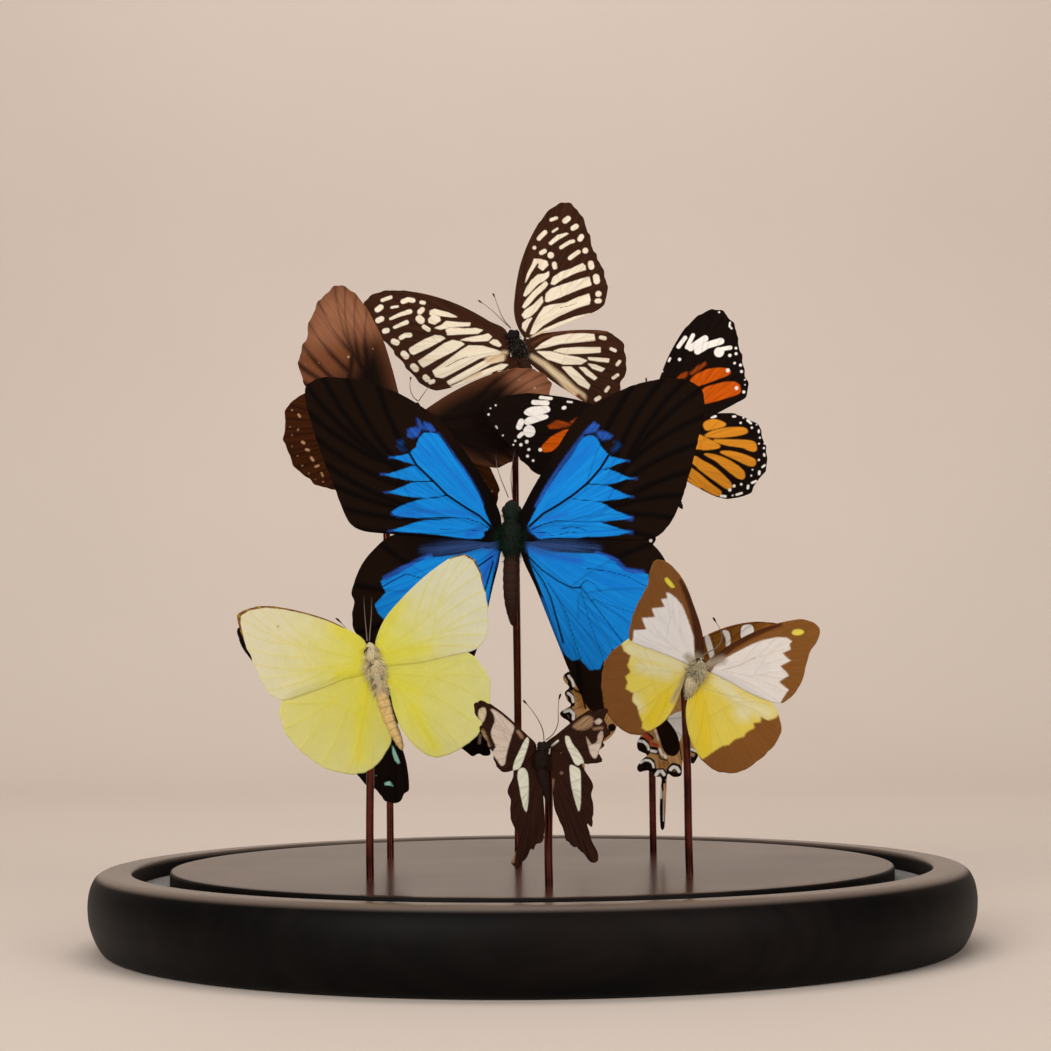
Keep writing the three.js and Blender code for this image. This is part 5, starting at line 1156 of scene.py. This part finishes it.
def frames_along(centres):
    """A turned frame at each centre, with its third axis along the line."""
    frames = []
    for i, centre in enumerate(centres):
        axis = (centres[min(i + 1, len(centres) - 1)] - centres[max(i - 1, 0)]).normalized()
        side = Vector((0, 1, 0)).cross(axis).normalized()
        front = axis.cross(side).normalized()
        frames.append(Matrix((side, front, axis)).transposed().to_4x4())
        frames[-1].translation = centre
    return frames


def swept(bm, centres, radii, sides):
    """A closed round limb through the centres. Returns its verts and how far along each one lies."""
    frames = [frame @ Matrix.Diagonal((r, r, r, 1)) for frame, r in zip(frames_along(centres), radii)]
    ring = bmesh.ops.create_circle(bm, cap_ends=True, segments=sides, radius=1, matrix=frames[0])["verts"]
    edges = list({e for v in ring for e in v.link_edges})
    placed = [(v, 0.0) for v in ring]
    for i, (before, after) in enumerate(zip(frames, frames[1:]), 1):
        made = bmesh.ops.extrude_edge_only(bm, edges=edges)["geom"]
        ring = [g for g in made if isinstance(g, bmesh.types.BMVert)]
        edges = [g for g in made if isinstance(g, bmesh.types.BMEdge)]
        bmesh.ops.transform(bm, matrix=after @ before.inverted(), verts=ring)
        placed += [(v, i / (len(frames) - 1)) for v in ring]
    bmesh.ops.edgeloop_fill(bm, edges=edges)
    return placed


def swelling(share, place, reach, height):
    """A smooth rise around a place, as high as height there and near nothing at twice its reach."""
    return height * np.exp(-(((share - place) / reach) ** 2))


def bulge(share):
    """How full an abdomen is at a share of the body's length: 0 in a groove, 1 on a ring."""
    waist = WAIST[0]
    return np.abs(np.sin(math.pi * ABDOMEN_RINGS * (share - waist) / (1 - waist)))


def body_line(name):
    """Centres and radii along a body in metres, with neck, waist, rings and rounded ends."""
    insect = BUTTERFLIES[name]
    stations = rounded(points(insect["body"])[:, [0, 2, 1, 3]], False, 0.24)
    arc = np.concatenate([[0], np.cumsum(np.linalg.norm(np.diff(stations[:, :3], axis=0), axis=1))])
    t = arc / arc[-1]
    radius = stations[:, 3].copy()
    radius *= 1 - swelling(t, *NECK) - swelling(t, *WAIST)
    radius *= np.where(t > 0.5, 0.92 + 0.08 * bulge(t) ** 0.5, 1)
    end = np.clip(np.minimum(arc, arc[-1] - arc) / 1.1, 0, 1)
    radius *= np.sqrt(np.clip(1 - (1 - end) ** 2, 0.03, 1))
    radius *= 1 - 0.35 * np.clip((t - 0.66) / 0.34, 0, 1) ** 2
    radius *= SLIM.get(name, 1.0)
    centres = np.array(insect["at"]) + stations[:, [0, 2, 1]]
    return [Vector(c * MM) for c in centres], radius * MM, t


def paint_colour(name):
    """The colour that the panel holds under this name."""
    return tuple(getattr(bpy.context.scene.display_colours, name))


def wood_material():
    """Black stain, thinner on the disc, with a painted reflection that lightens the top of the rim."""
    s = bpy.context.scene.display_sizes
    g = Graph("black_stained_wood", Specular_IOR_Level=0.08)
    place = g.place()
    stretched = g.node("ShaderNodeMapping", {}, {"Vector": place, "Scale": (18.0, 260.0, 60.0)})
    fibre = g.noise(stretched, scale=1.0, detail=6.0, rough=0.62)
    cloud = g.noise(place, scale=22.0, detail=3.0)
    speck = g.noise(place, scale=1400.0, detail=2.0)
    flat = g.node("ShaderNodeVectorMath", {"operation": "MULTIPLY"}, {0: place, 1: (1.0, 1.0, 0.0)})
    radius = g.node("ShaderNodeVectorMath", {"operation": "LENGTH"}, {0: flat}, out="Value")
    disc = g.ramp(radius, s.disc_radius - 0.1 * MM, s.disc_radius - 0.9 * MM)
    height = g.node("ShaderNodeSeparateXYZ", {}, {0: place}, out="Z")
    outside = g.ramp(radius, s.groove_radius - 3 * MM, s.groove_radius - 0.5 * MM)
    crest = g.ramp(height, s.base_height - 1.7 * MM, s.base_height - 0.3 * MM) * outside
    tint = g.mixed(g.ramp(fibre + cloud, 0.85, 1.3), "wood", "wood_brown")
    disc_tint = g.mixed(g.ramp(fibre, 0.3, 0.7), "wood_brown", "disc_wood")
    tint = g.blend(disc * 0.75, tint, disc_tint)
    # Painted reflection: the top of the rim is lightened with the rim colour.
    tint = g.paint(tint, crest * 0.8, "rim_painted_reflection")
    tint = g.shade(tint, 0.9 + 0.2 * speck)
    relief = g.bump(fibre * 0.5 + speck * 0.35, strength=0.14, distance=0.4 * MM)
    dull = 0.46 - 0.3 * disc - 0.28 * crest + 0.08 * cloud + 0.03 * speck
    return g.surface(Base_Color=tint, Roughness=dull, Normal=relief)


def flock_material():
    """Short grey pile."""
    g = Graph("grey_flock", Sheen_Weight=0.5, Sheen_Roughness=0.5)
    place = g.place()
    pile = g.noise(place, scale=2200.0, detail=3.0, rough=0.7)
    patch = g.noise(place, scale=120.0, detail=2.0)
    tint = g.shade(paint_colour("flock"), 0.6 + 0.45 * pile + 0.25 * patch)
    relief = g.bump(pile, strength=0.7, distance=0.6 * MM)
    return g.surface(Base_Color=tint, Roughness=0.85 + 0.1 * pile, Normal=relief)


def copper_material():
    """Copper wire with fine lines along it and dull patches."""
    g = Graph("drawn_copper", Metallic=1.0)
    place = g.place()
    stretched = g.node("ShaderNodeMapping", {}, {"Vector": place, "Scale": (2600.0, 2600.0, 24.0)})
    drawn = g.noise(stretched, scale=1.0, detail=3.0)
    dull = g.noise(place, scale=90.0, detail=3.0, rough=0.6)
    tint = g.mixed(g.ramp(dull, 0.3, 0.75), "copper", "copper_dark")
    tint = g.shade(tint, 0.82 + 0.3 * drawn)
    relief = g.bump(drawn, strength=0.12, distance=0.2 * MM)
    return g.surface(Base_Color=tint, Roughness=0.16 + 0.14 * dull, Normal=relief)


def wing_material(name):
    """Scales, marks, veins and root hairs of one butterfly's wings, read from the mesh's own numbers."""
    look = PAINT[name]
    g = Graph(
        f"{name}_wing_scales", Specular_IOR_Level=0.03, Subsurface_Weight=look.get("thin", 0.0),
        Subsurface_Radius=(1.0, 0.8, 0.5), Subsurface_Scale=1.2 * MM,
    )
    place = g.place()
    vein, root, ray = (g.attribute(a) for a in ("vein", "root", "ray"))
    grain = g.noise(place, scale=3400.0, detail=2.0, rough=0.7)
    patch = g.noise(place, scale=210.0, detail=3.0, rough=0.6)
    fan = g.node("ShaderNodeCombineXYZ", {}, {0: ray * 38.0, 1: root * 0.05})
    streak = g.noise(fan, scale=1.0, detail=3.0, rough=0.65)
    stroke = g.ramp(streak, 0.32, 0.68, 0.0, look.get("even", 1.0))

    def pair(names):
        return g.mixed(stroke, *names)

    ground = look["ground"]
    if "ribs" in look:
        ribs = g.ramp(vein + streak * 0.8, 0.5, 1.9) * g.ramp(root, look["ribs"] * 0.6, look["ribs"] * 1.3)
        tint = g.mixed(ribs, *ground)
    else:
        tint = pair(ground)
    if "hind" in look:
        tint = g.blend(g.attribute("hind"), tint, pair(look["hind"]))
    if "fade" in look:
        far, start, end = look["fade"]
        away = g.ramp(root + patch * 8.0 + streak * 6.0, start, end + 7.0)
        tint = g.paint(tint, away * (1 - g.attribute("hind") * 0.6), far)
    masks = {}
    for layer, first, second, soft, ragged in look["layers"]:
        field = g.attribute(layer) + (grain - 0.5) * ragged + (streak - 0.5) * ragged * 0.6
        grow = look.get("grow", {}).get(layer, 0.0)
        mask = g.ramp(field, grow + soft, grow - soft)
        if layer in look.get("within", {}):
            mask = mask * masks[look["within"][layer]]
        masks[layer] = mask
        tint = g.blend(mask, tint, pair((first, second)))
    vein_name, width, strength = look["vein"]
    line = g.ramp(vein + (grain - 0.5) * 0.1, width + 0.3, width * 0.5)
    tint = g.paint(tint, line * strength, vein_name)
    dust_name, reach = look.get("dust", ("soot_warm", 3.5))
    dust = g.ramp(root + (streak - 0.5) * 4.0 + (grain - 0.5) * 2.5, reach, reach * 0.3)
    tint = g.paint(tint, dust * 0.75, dust_name)
    under_name, amount = look["under"]
    tint = g.paint(tint, g.attribute("under") * amount, under_name)
    tint = g.shade(tint, 0.8 + 0.24 * grain + 0.16 * patch)
    height = grain * 0.5 + streak * 0.4 - g.ramp(vein, 0.0, 0.5) * 0.6
    relief = g.bump(height, strength=0.3, distance=0.2 * MM)
    sockets = {"Base_Color": tint, "Roughness": 0.55 + 0.2 * grain, "Normal": relief}
    if "pane" in masks:
        sockets["Alpha"] = 1 - masks["pane"] * look["clear"]
    return g.surface(**sockets)


def body_material(name):
    """Thorax, ringed abdomen and dust of one body."""
    g = Graph(f"{name}_body_skin", Specular_IOR_Level=0.12)
    place = g.place()
    along = g.attribute("along")
    grain = g.noise(place, scale=2600.0, detail=3.0, rough=0.6)
    patch = g.noise(place, scale=500.0, detail=2.0, rough=0.6)
    hind = g.ramp(along + (patch - 0.5) * 0.1, 0.42, 0.5)
    tint = g.mixed(hind, *COATS[name][:2])
    tint = g.paint(tint, g.ramp(g.attribute("groove"), 0.4, 0.0) * 0.4, "soot_warm")
    blotch = g.ramp(g.noise(place, scale=430.0, detail=3.0, rough=0.55), 0.54, 0.6)
    tint = g.paint(tint, blotch * BLOTCHES.get(name, 0.0) * (1 - 0.8 * hind), "soot_warm")
    tint = g.shade(tint, 0.65 + 0.5 * grain + 0.2 * patch)
    relief = g.bump(grain + patch, strength=0.5, distance=0.3 * MM)
    return g.surface(Base_Color=tint, Roughness=0.55 + 0.25 * grain, Normal=relief)


def hair_material(name):
    """Hairs of two colours."""
    g = Graph(f"{name}_hair", Specular_IOR_Level=0.1)
    shade = g.attribute("shade")
    speck = g.noise(g.place(), scale=1500.0, detail=1.0)
    tint = g.mixed(g.ramp(shade, 0.45, 0.8), *COATS[name][2:4])
    tint = g.shade(tint, 0.85 + 0.7 * speck)
    return g.surface(Base_Color=tint, Roughness=0.6 + 0.2 * speck)


def feeler_material():
    """Dark horn, black at the clubs."""
    g = Graph("feeler_horn", Specular_IOR_Level=0.2)
    along = g.attribute("along")
    speck = g.noise(g.place(), scale=3000.0, detail=2.0)
    tint = g.mixed(g.ramp(along, 0.75, 0.95), "smoke", "soot")
    return g.surface(Base_Color=g.shade(tint, 0.45 + 0.5 * speck), Roughness=0.45 + 0.2 * speck)


def floor_material():
    """Plain matt paper."""
    g = Graph("pale_floor")
    cloud = g.noise(g.place(), scale=6.0, detail=3.0)
    tint = g.shade(paint_colour("floor"), 0.97 + 0.06 * cloud)
    return g.surface(Base_Color=tint, Roughness=0.8 + 0.1 * cloud)


class DISPLAY_OT_base(bpy.types.Operator):
    """Turn the wooden base with its groove and its raised disc"""

    bl_idname = "display.base"
    bl_label = "Wooden base"

    def execute(self, context):
        s = context.scene.display_sizes
        top, floor = s.base_height, s.base_height - s.groove_depth
        inner, outer = s.disc_radius, s.groove_radius
        soft = 0.8 * MM
        turn = [math.radians(a) for a in (0, 22.5, 45, 67.5, 90)]
        side = rounded(points(BASE_SIDE), False, 0.7) * MM
        profile = [*((radius * MM, 0) for radius in FOOT_RINGS), *side, (RIM_RADIUS * MM, top)]
        profile += [(outer + soft * (1 - math.sin(a)), top - soft * (1 - math.cos(a))) for a in turn]
        profile += [(outer, floor), (inner, floor)]
        profile += [(inner - soft * (1 - math.cos(a)), top - soft * (1 - math.sin(a))) for a in turn]
        profile += [(radius * MM, top) for radius in DISC_RINGS]
        bm = turned(profile, s.base_steps)
        add_piece(bm, "turned_base", wood_material(), ["base"], crease=50)
        return {"FINISHED"}


class DISPLAY_OT_flock(bpy.types.Operator):
    """Lay the flock lining in the groove"""

    bl_idname = "display.flock"
    bl_label = "Groove lining"

    def execute(self, context):
        s = context.scene.display_sizes
        low = s.base_height - s.groove_depth + 0.05 * MM
        high = low + s.flock_thickness
        near, far = s.disc_radius + 0.3 * MM, s.groove_radius - 0.3 * MM
        soft = 0.4 * MM
        profile = [(near, low), (near, high - soft), (near + soft, high)]
        profile += [((near + far) / 2, high - 0.15 * MM), (far - soft, high), (far, high - soft), (far, low)]
        bm = turned(profile, s.base_steps, closed=True)
        bmesh.ops.subdivide_edges(bm, edges=[e for e in bm.edges if e.calc_length() > 1.5 * MM], cuts=1)
        add_piece(bm, "groove_lining", flock_material(), ["groove_flock"], crease=60)
        return {"FINISHED"}


class DISPLAY_OT_rods(bpy.types.Operator):
    """Stand the copper rods in the disc"""

    bl_idname = "display.rods"
    bl_label = "Copper rods"

    def execute(self, context):
        s = context.scene.display_sizes
        material = copper_material()
        radius = s.rod_diameter / 2
        foot = s.base_height - 0.4 * MM
        chance = random.Random(5)
        for node, (x, y, top_x, top) in RODS.items():
            high = top * MM - foot
            bm = bmesh.new()
            bmesh.ops.create_cone(
                bm, cap_ends=True, segments=28, radius1=radius, radius2=radius, depth=high,
                matrix=Matrix.Translation((0, 0, high / 2)),
            )
            rim = [e for e in bm.edges if all(v.co.z > high * 0.99 for v in e.verts)]
            bmesh.ops.bevel(
                bm, geom=rim, offset=0.25 * MM, segments=2, profile=0.5, affect="EDGES", material=-1
            )
            long_edges = [e for e in bm.edges if e.calc_length() > high / 2]
            bmesh.ops.subdivide_edges(bm, edges=long_edges, cuts=14)
            phase = chance.uniform(0, math.tau)
            for v in bm.verts:
                rise = v.co.z / high
                sway = 0.18 * MM * math.sin(rise * 5 + phase) * math.sin(math.pi * rise)
                v.co.x += x * MM + (top_x - x) * MM * rise + sway
                v.co.y += y * MM + sway * 0.5
                v.co.z += foot
            name = node.replace("rod_", "copper_rod_")
            add_piece(bm, name, material, [node], crease=40)
        return {"FINISHED"}


class DISPLAY_OT_wings(bpy.types.Operator):
    """Cut, paint and place the wings of all the butterflies"""

    bl_idname = "display.wings"
    bl_label = "Wings"

    def execute(self, context):
        s = context.scene.display_sizes
        for name, insect in BUTTERFLIES.items():
            material = wing_material(name)
            for wing in ("forewing", "hindwing"):
                for side in SIDES:
                    self.make_wing(s, name, insect, wing, side, material)
        return {"FINISHED"}

    def worn(self, ring, veins, scallop, torn, chance):
        """The outline with hollows between the vein ends and with small nicks."""
        root = (ring[0] + ring[-1]) / 2
        reach = np.hypot(*(ring - root).T)
        way = (ring - root) / np.maximum(reach, 1e-6)[:, None]
        gap = np.full(len(ring), 9.0)
        for vein in veins:
            gap = np.minimum(gap, to_line(ring, vein)[0])
        outer = np.clip(reach / reach.max() * 3 - 1.4, 0, 1)
        nicks = np.convolve(chance.normal(0, torn, len(ring)), (0.15, 0.2, 0.3, 0.2, 0.15), "same")
        hollow = scallop * (1 - np.exp(-((gap / 1.1) ** 2)))
        return ring - way * ((hollow + nicks) * outer)[:, None]

    def make_wing(self, s, name, insect, wing, side, material):
        """Cuts one wing, keeps what its material reads and slides it onto its tilted plane."""
        node = f"{name}_{wing}_{side}"
        fore = wing == "forewing"
        thick = s.wing_thickness / MM
        line = points(insect[f"{wing}_{side}"])
        ring = rounded(line, True, 0.35)
        look = PAINT[name]
        chance = np.random.default_rng(len(node) * 31 + sum(map(ord, node)))
        scallop, torn = look.get("scallop", 0.12), look.get("torn", 0.14)
        ring = self.worn(ring, wing_veins(ring, fore), scallop, torn, chance)
        piece = add_piece(
            wing_sheet(ring, look["cell"], thick), f"{name}_{side}_{wing}", material, [node]
        )
        mesh = piece.data
        flat = np.zeros(len(mesh.vertices) * 3, np.float32)
        mesh.vertices.foreach_get("co", flat)
        flat = flat.reshape(-1, 3).astype(float)
        places, layer_depth = flat[:, :2], flat[:, 2].max() - flat[:, 2]
        under = layer_depth / max(layer_depth.max(), 1e-6)
        rim = to_line(places, np.vstack([ring, ring[:1]]))[0]
        veins = np.full(len(places), 99.0)
        for vein in wing_veins(rounded(line, False, 1.0), fore):
            veins = np.minimum(veins, to_line(places, vein)[0])
        middle = places.mean(0)
        turn = math.atan2(middle[1], middle[0])
        swung = np.arctan2(places[:, 1], places[:, 0]) - turn
        ray = (swung + math.pi) % math.tau - math.pi
        distance = np.hypot(*places.T)

        fields = mark_fields(MARKS[node], places)
        for layer, *_ in look["layers"]:
            store(mesh, layer, np.clip(fields.get(layer, np.full(len(places), FAR)), -FAR, FAR))
        for key, values in (("vein", veins), ("root", distance), ("ray", ray), ("under", under)):
            store(mesh, key, values)
        store(mesh, "hind", np.full(len(places), 0.0 if fore else 1.0))

        grown = np.clip(distance / 12, 0, 1) * np.clip(rim / 1.5, 0.25, 1)
        relief = -s.pleat / MM * (1 - np.exp(-veins / 0.9)) * grown
        phase = np.random.default_rng(sum(map(ord, name + side))).uniform(0, math.tau, 2)
        wave = np.sin(places[:, 0] * 0.13 + phase[0]) * np.sin(places[:, 1] * 0.15 + phase[1])
        relief += s.wave / MM * wave * np.clip((distance - 6) / 14, 0, 1)
        setback = (s.forewing_setback if fore else s.hindwing_setback) / MM
        placed = onto_wing(*places.T, insect["at"], insect["tilt"][side], setback + layer_depth - relief)
        mesh.vertices.foreach_set("co", (placed * MM).astype(np.float32).ravel())
        mesh.update()


class DISPLAY_OT_bodies(bpy.types.Operator):
    """Model the bodies with head, eyes, thorax and ringed abdomen"""

    bl_idname = "display.bodies"
    bl_label = "Bodies"

    def execute(self, context):
        for name in BUTTERFLIES:
            centres, radii, along = body_line(name)
            bm = bmesh.new()
            place = bm.verts.layers.float.new("along")
            groove = bm.verts.layers.float.new("groove")
            count = len(centres) - 1
            for v, t in swept(bm, centres, radii, 24):
                position = along[round(t * count)]
                v[place] = position
                v[groove] = bulge(position) if position > WAIST[0] else 1.0
            head = frames_along(centres)[max(int(count * 0.09), 1)]
            size = max(radii[: int(count * 0.14)])
            for way in (-1, 1):
                place_of_eye = Matrix.Translation((way * size * 0.72, -size * 0.3, 0))
                eye = head @ place_of_eye @ Matrix.Diagonal((0.9, 1, 1.1, 1))
                made = bmesh.ops.create_uvsphere(
                    bm, u_segments=14, v_segments=10, radius=size * 0.5, matrix=eye
                )
                for v in made["verts"]:
                    v[place] = 0.05
                    v[groove] = 0.0
            bmesh.ops.recalc_face_normals(bm, faces=bm.faces)
            add_piece(bm, f"{name}_trunk", body_material(name), [f"{name}_body"])
        return {"FINISHED"}


class DISPLAY_OT_hair(bpy.types.Operator):
    """Grow hair on the heads, thoraxes and abdomens"""

    bl_idname = "display.hair"
    bl_label = "Hair"

    def execute(self, context):
        for name in BUTTERFLIES:
            count, reach = COATS[name][4:]
            chance = random.Random(name)
            centres, radii, along = body_line(name)
            frames = frames_along(centres)
            bm = bmesh.new()
            shade = bm.verts.layers.float.new("shade")
            for _ in range(count):
                if chance.random() < FRONT_SHARE:
                    t = chance.triangular(FRONT_FROM, FRONT_TO, FRONT_DENSEST)
                else:
                    t = chance.uniform(REAR_FROM, REAR_TO)
                i = int(np.searchsorted(along, t))
                angle = chance.uniform(0, math.tau)
                out = frames[i].to_3x3() @ Vector((math.cos(angle), math.sin(angle), 0))
                tail = frames[i].to_3x3() @ Vector((0, 0, 1))
                loose = Vector([chance.gauss(0, HAIR_SPREAD) for _ in range(3)])
                lean = 0.5 if t < 0.5 else 1.6
                way = (out * 0.75 + tail * lean + loose).normalized()
                long = reach * MM * chance.uniform(SHORTEST, LONGEST) * (1 if t < 0.48 else 0.4)
                start = centres[i] + out * radii[i] * 0.9
                turn = Vector((0, 0, 1)).rotation_difference(way).to_matrix().to_4x4()
                made = bmesh.ops.create_cone(
                    bm, cap_ends=True, segments=3, radius1=HAIR_FOOT * MM, radius2=HAIR_TIP * MM, depth=long,
                    matrix=Matrix.Translation(start + way * long / 2) @ turn,
                )
                tone = chance.random()
                for v in made["verts"]:
                    v[shade] = tone
            add_piece(bm, f"{name}_hair", hair_material(name))
        return {"FINISHED"}


class DISPLAY_OT_feelers(bpy.types.Operator):
    """Draw the feelers with their clubbed ends"""

    bl_idname = "display.feelers"
    bl_label = "Feelers"

    def execute(self, context):
        material = feeler_material()
        for name, pair in FEELERS.items():
            insect = BUTTERFLIES[name]
            bm = bmesh.new()
            layer = bm.verts.layers.float.new("along")
            for text in pair:
                line = rounded(points(text), False, 0.5)
                t = np.linspace(0, 1, len(line))
                depth = -0.4 - 1.5 * t
                placed = onto_wing(*line.T, insect["at"], (0, 0), depth)
                radii = FEELER_RADIUS + 0.04 * np.cos(t * 3) + swelling(t, *CLUB)
                centres = [Vector(p * MM) for p in placed]
                for v, share in swept(bm, centres, radii * MM, 8):
                    v[layer] = share
            bmesh.ops.recalc_face_normals(bm, faces=bm.faces)
            add_piece(bm, f"{name}_feelers", material)
        return {"FINISHED"}


class DISPLAY_OT_stage(bpy.types.Operator):
    """Set the floor, the lights and the camera"""

    bl_idname = "display.stage"
    bl_label = "Stage"

    def execute(self, context):
        self.make_floor()
        self.make_lights(context)
        self.make_camera(context)
        context.scene.view_settings.view_transform = "Standard"
        return {"FINISHED"}

    def make_floor(self):
        bm = bmesh.new()
        near, far, bend, high, wide = -3.0, 0.9, 0.5, 3.2, 3.0
        curve = [(near, 0.0), (-0.5, 0.0), (0.3, 0.0)]
        turn = [math.radians(a) for a in range(0, 91, 6)]
        curve += [(far + bend * math.sin(a), bend * (1 - math.cos(a))) for a in turn]
        curve += [(far + bend, high)]
        verts = [bm.verts.new((-wide, y, z)) for y, z in curve]
        edges = [bm.edges.new(pair) for pair in zip(verts, verts[1:])]
        made = bmesh.ops.extrude_edge_only(bm, edges=edges)["geom"]
        moved = [g for g in made if isinstance(g, bmesh.types.BMVert)]
        bmesh.ops.translate(bm, vec=(2 * wide, 0, 0), verts=moved)
        bmesh.ops.recalc_face_normals(bm, faces=bm.faces)
        mesh = bpy.data.meshes.new("studio_floor")
        bm.to_mesh(mesh)
        bm.free()
        mesh.shade_smooth()
        mesh.materials.append(floor_material())
        floor = bpy.data.objects.new("studio_floor", mesh)
        bpy.context.scene.collection.objects.link(floor)

    def make_lights(self, context):
        world = bpy.data.worlds.new("soft_room")
        world.use_nodes = True
        background = world.node_tree.nodes["Background"]
        background.inputs["Color"].default_value = (*WARM_WHITE, 1.0)
        background.inputs["Strength"].default_value = ROOM_STRENGTH
        context.scene.world = world
        for name, place, target, size, power in LIGHTS:
            data = bpy.data.lights.new(name, "AREA")
            data.shape = "SQUARE"
            data.size = size
            data.energy = power
            data.color = WARM_WHITE
            lamp = bpy.data.objects.new(name, data)
            lamp.location = place
            aim = Vector(target) - Vector(place)
            lamp.rotation_euler = aim.to_track_quat("-Z", "Y").to_euler()
            context.scene.collection.objects.link(lamp)

    def make_camera(self, context):
        pitch, yaw, roll = (math.radians(a) for a in CAMERA_TURNS)
        right = Vector((math.cos(yaw), -math.sin(yaw), 0))
        ahead = Vector((math.sin(yaw) * math.cos(pitch), math.cos(yaw) * math.cos(pitch), math.sin(pitch)))
        up = right.cross(ahead)
        cos, sin = math.cos(roll), math.sin(roll)
        right, up = cos * right - sin * up, cos * up + sin * right
        data = bpy.data.cameras.new("front_camera")
        data.sensor_width = CAMERA_SENSOR
        data.lens = CAMERA_LENS
        data.clip_start = 0.01
        camera = bpy.data.objects.new("front_camera", data)
        camera.matrix_world = Matrix((right, up, -ahead)).transposed().to_4x4()
        camera.location = CAMERA_PLACE
        context.scene.collection.objects.link(camera)
        context.scene.camera = camera


class DISPLAY_PT_panel(bpy.types.Panel):
    """Sizes, colours and steps of the display"""

    bl_idname = "DISPLAY_PT_panel"
    bl_label = "Butterfly display"
    bl_space_type = "VIEW_3D"
    bl_region_type = "UI"
    bl_category = "Butterflies"

    def draw(self, context):
        for group in (context.scene.display_sizes, context.scene.display_colours):
            column = self.layout.column()
            for key in group.__annotations__:
                column.prop(group, key)
        for step in STEPS:
            self.layout.operator(step.bl_idname)


STEPS = (
    DISPLAY_OT_base, DISPLAY_OT_flock, DISPLAY_OT_rods, DISPLAY_OT_wings, DISPLAY_OT_bodies, DISPLAY_OT_hair,
    DISPLAY_OT_feelers, DISPLAY_OT_stage,
)
CLASSES = (DISPLAY_PG_sizes, DISPLAY_PG_colours, *STEPS, DISPLAY_PT_panel)


def register():
    for cls in CLASSES:
        bpy.utils.register_class(cls)
    bpy.types.Scene.display_sizes = PointerProperty(type=DISPLAY_PG_sizes)
    bpy.types.Scene.display_colours = PointerProperty(type=DISPLAY_PG_colours)


def unregister():
    del bpy.types.Scene.display_colours
    del bpy.types.Scene.display_sizes
    for cls in reversed(CLASSES):
        bpy.utils.unregister_class(cls)


def main():
    """Registers the add-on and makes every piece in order."""
    register()
    for step in STEPS:
        group, name = step.bl_idname.split(".")
        getattr(getattr(bpy.ops, group), name)()


if __name__ == "__main__":
    main()
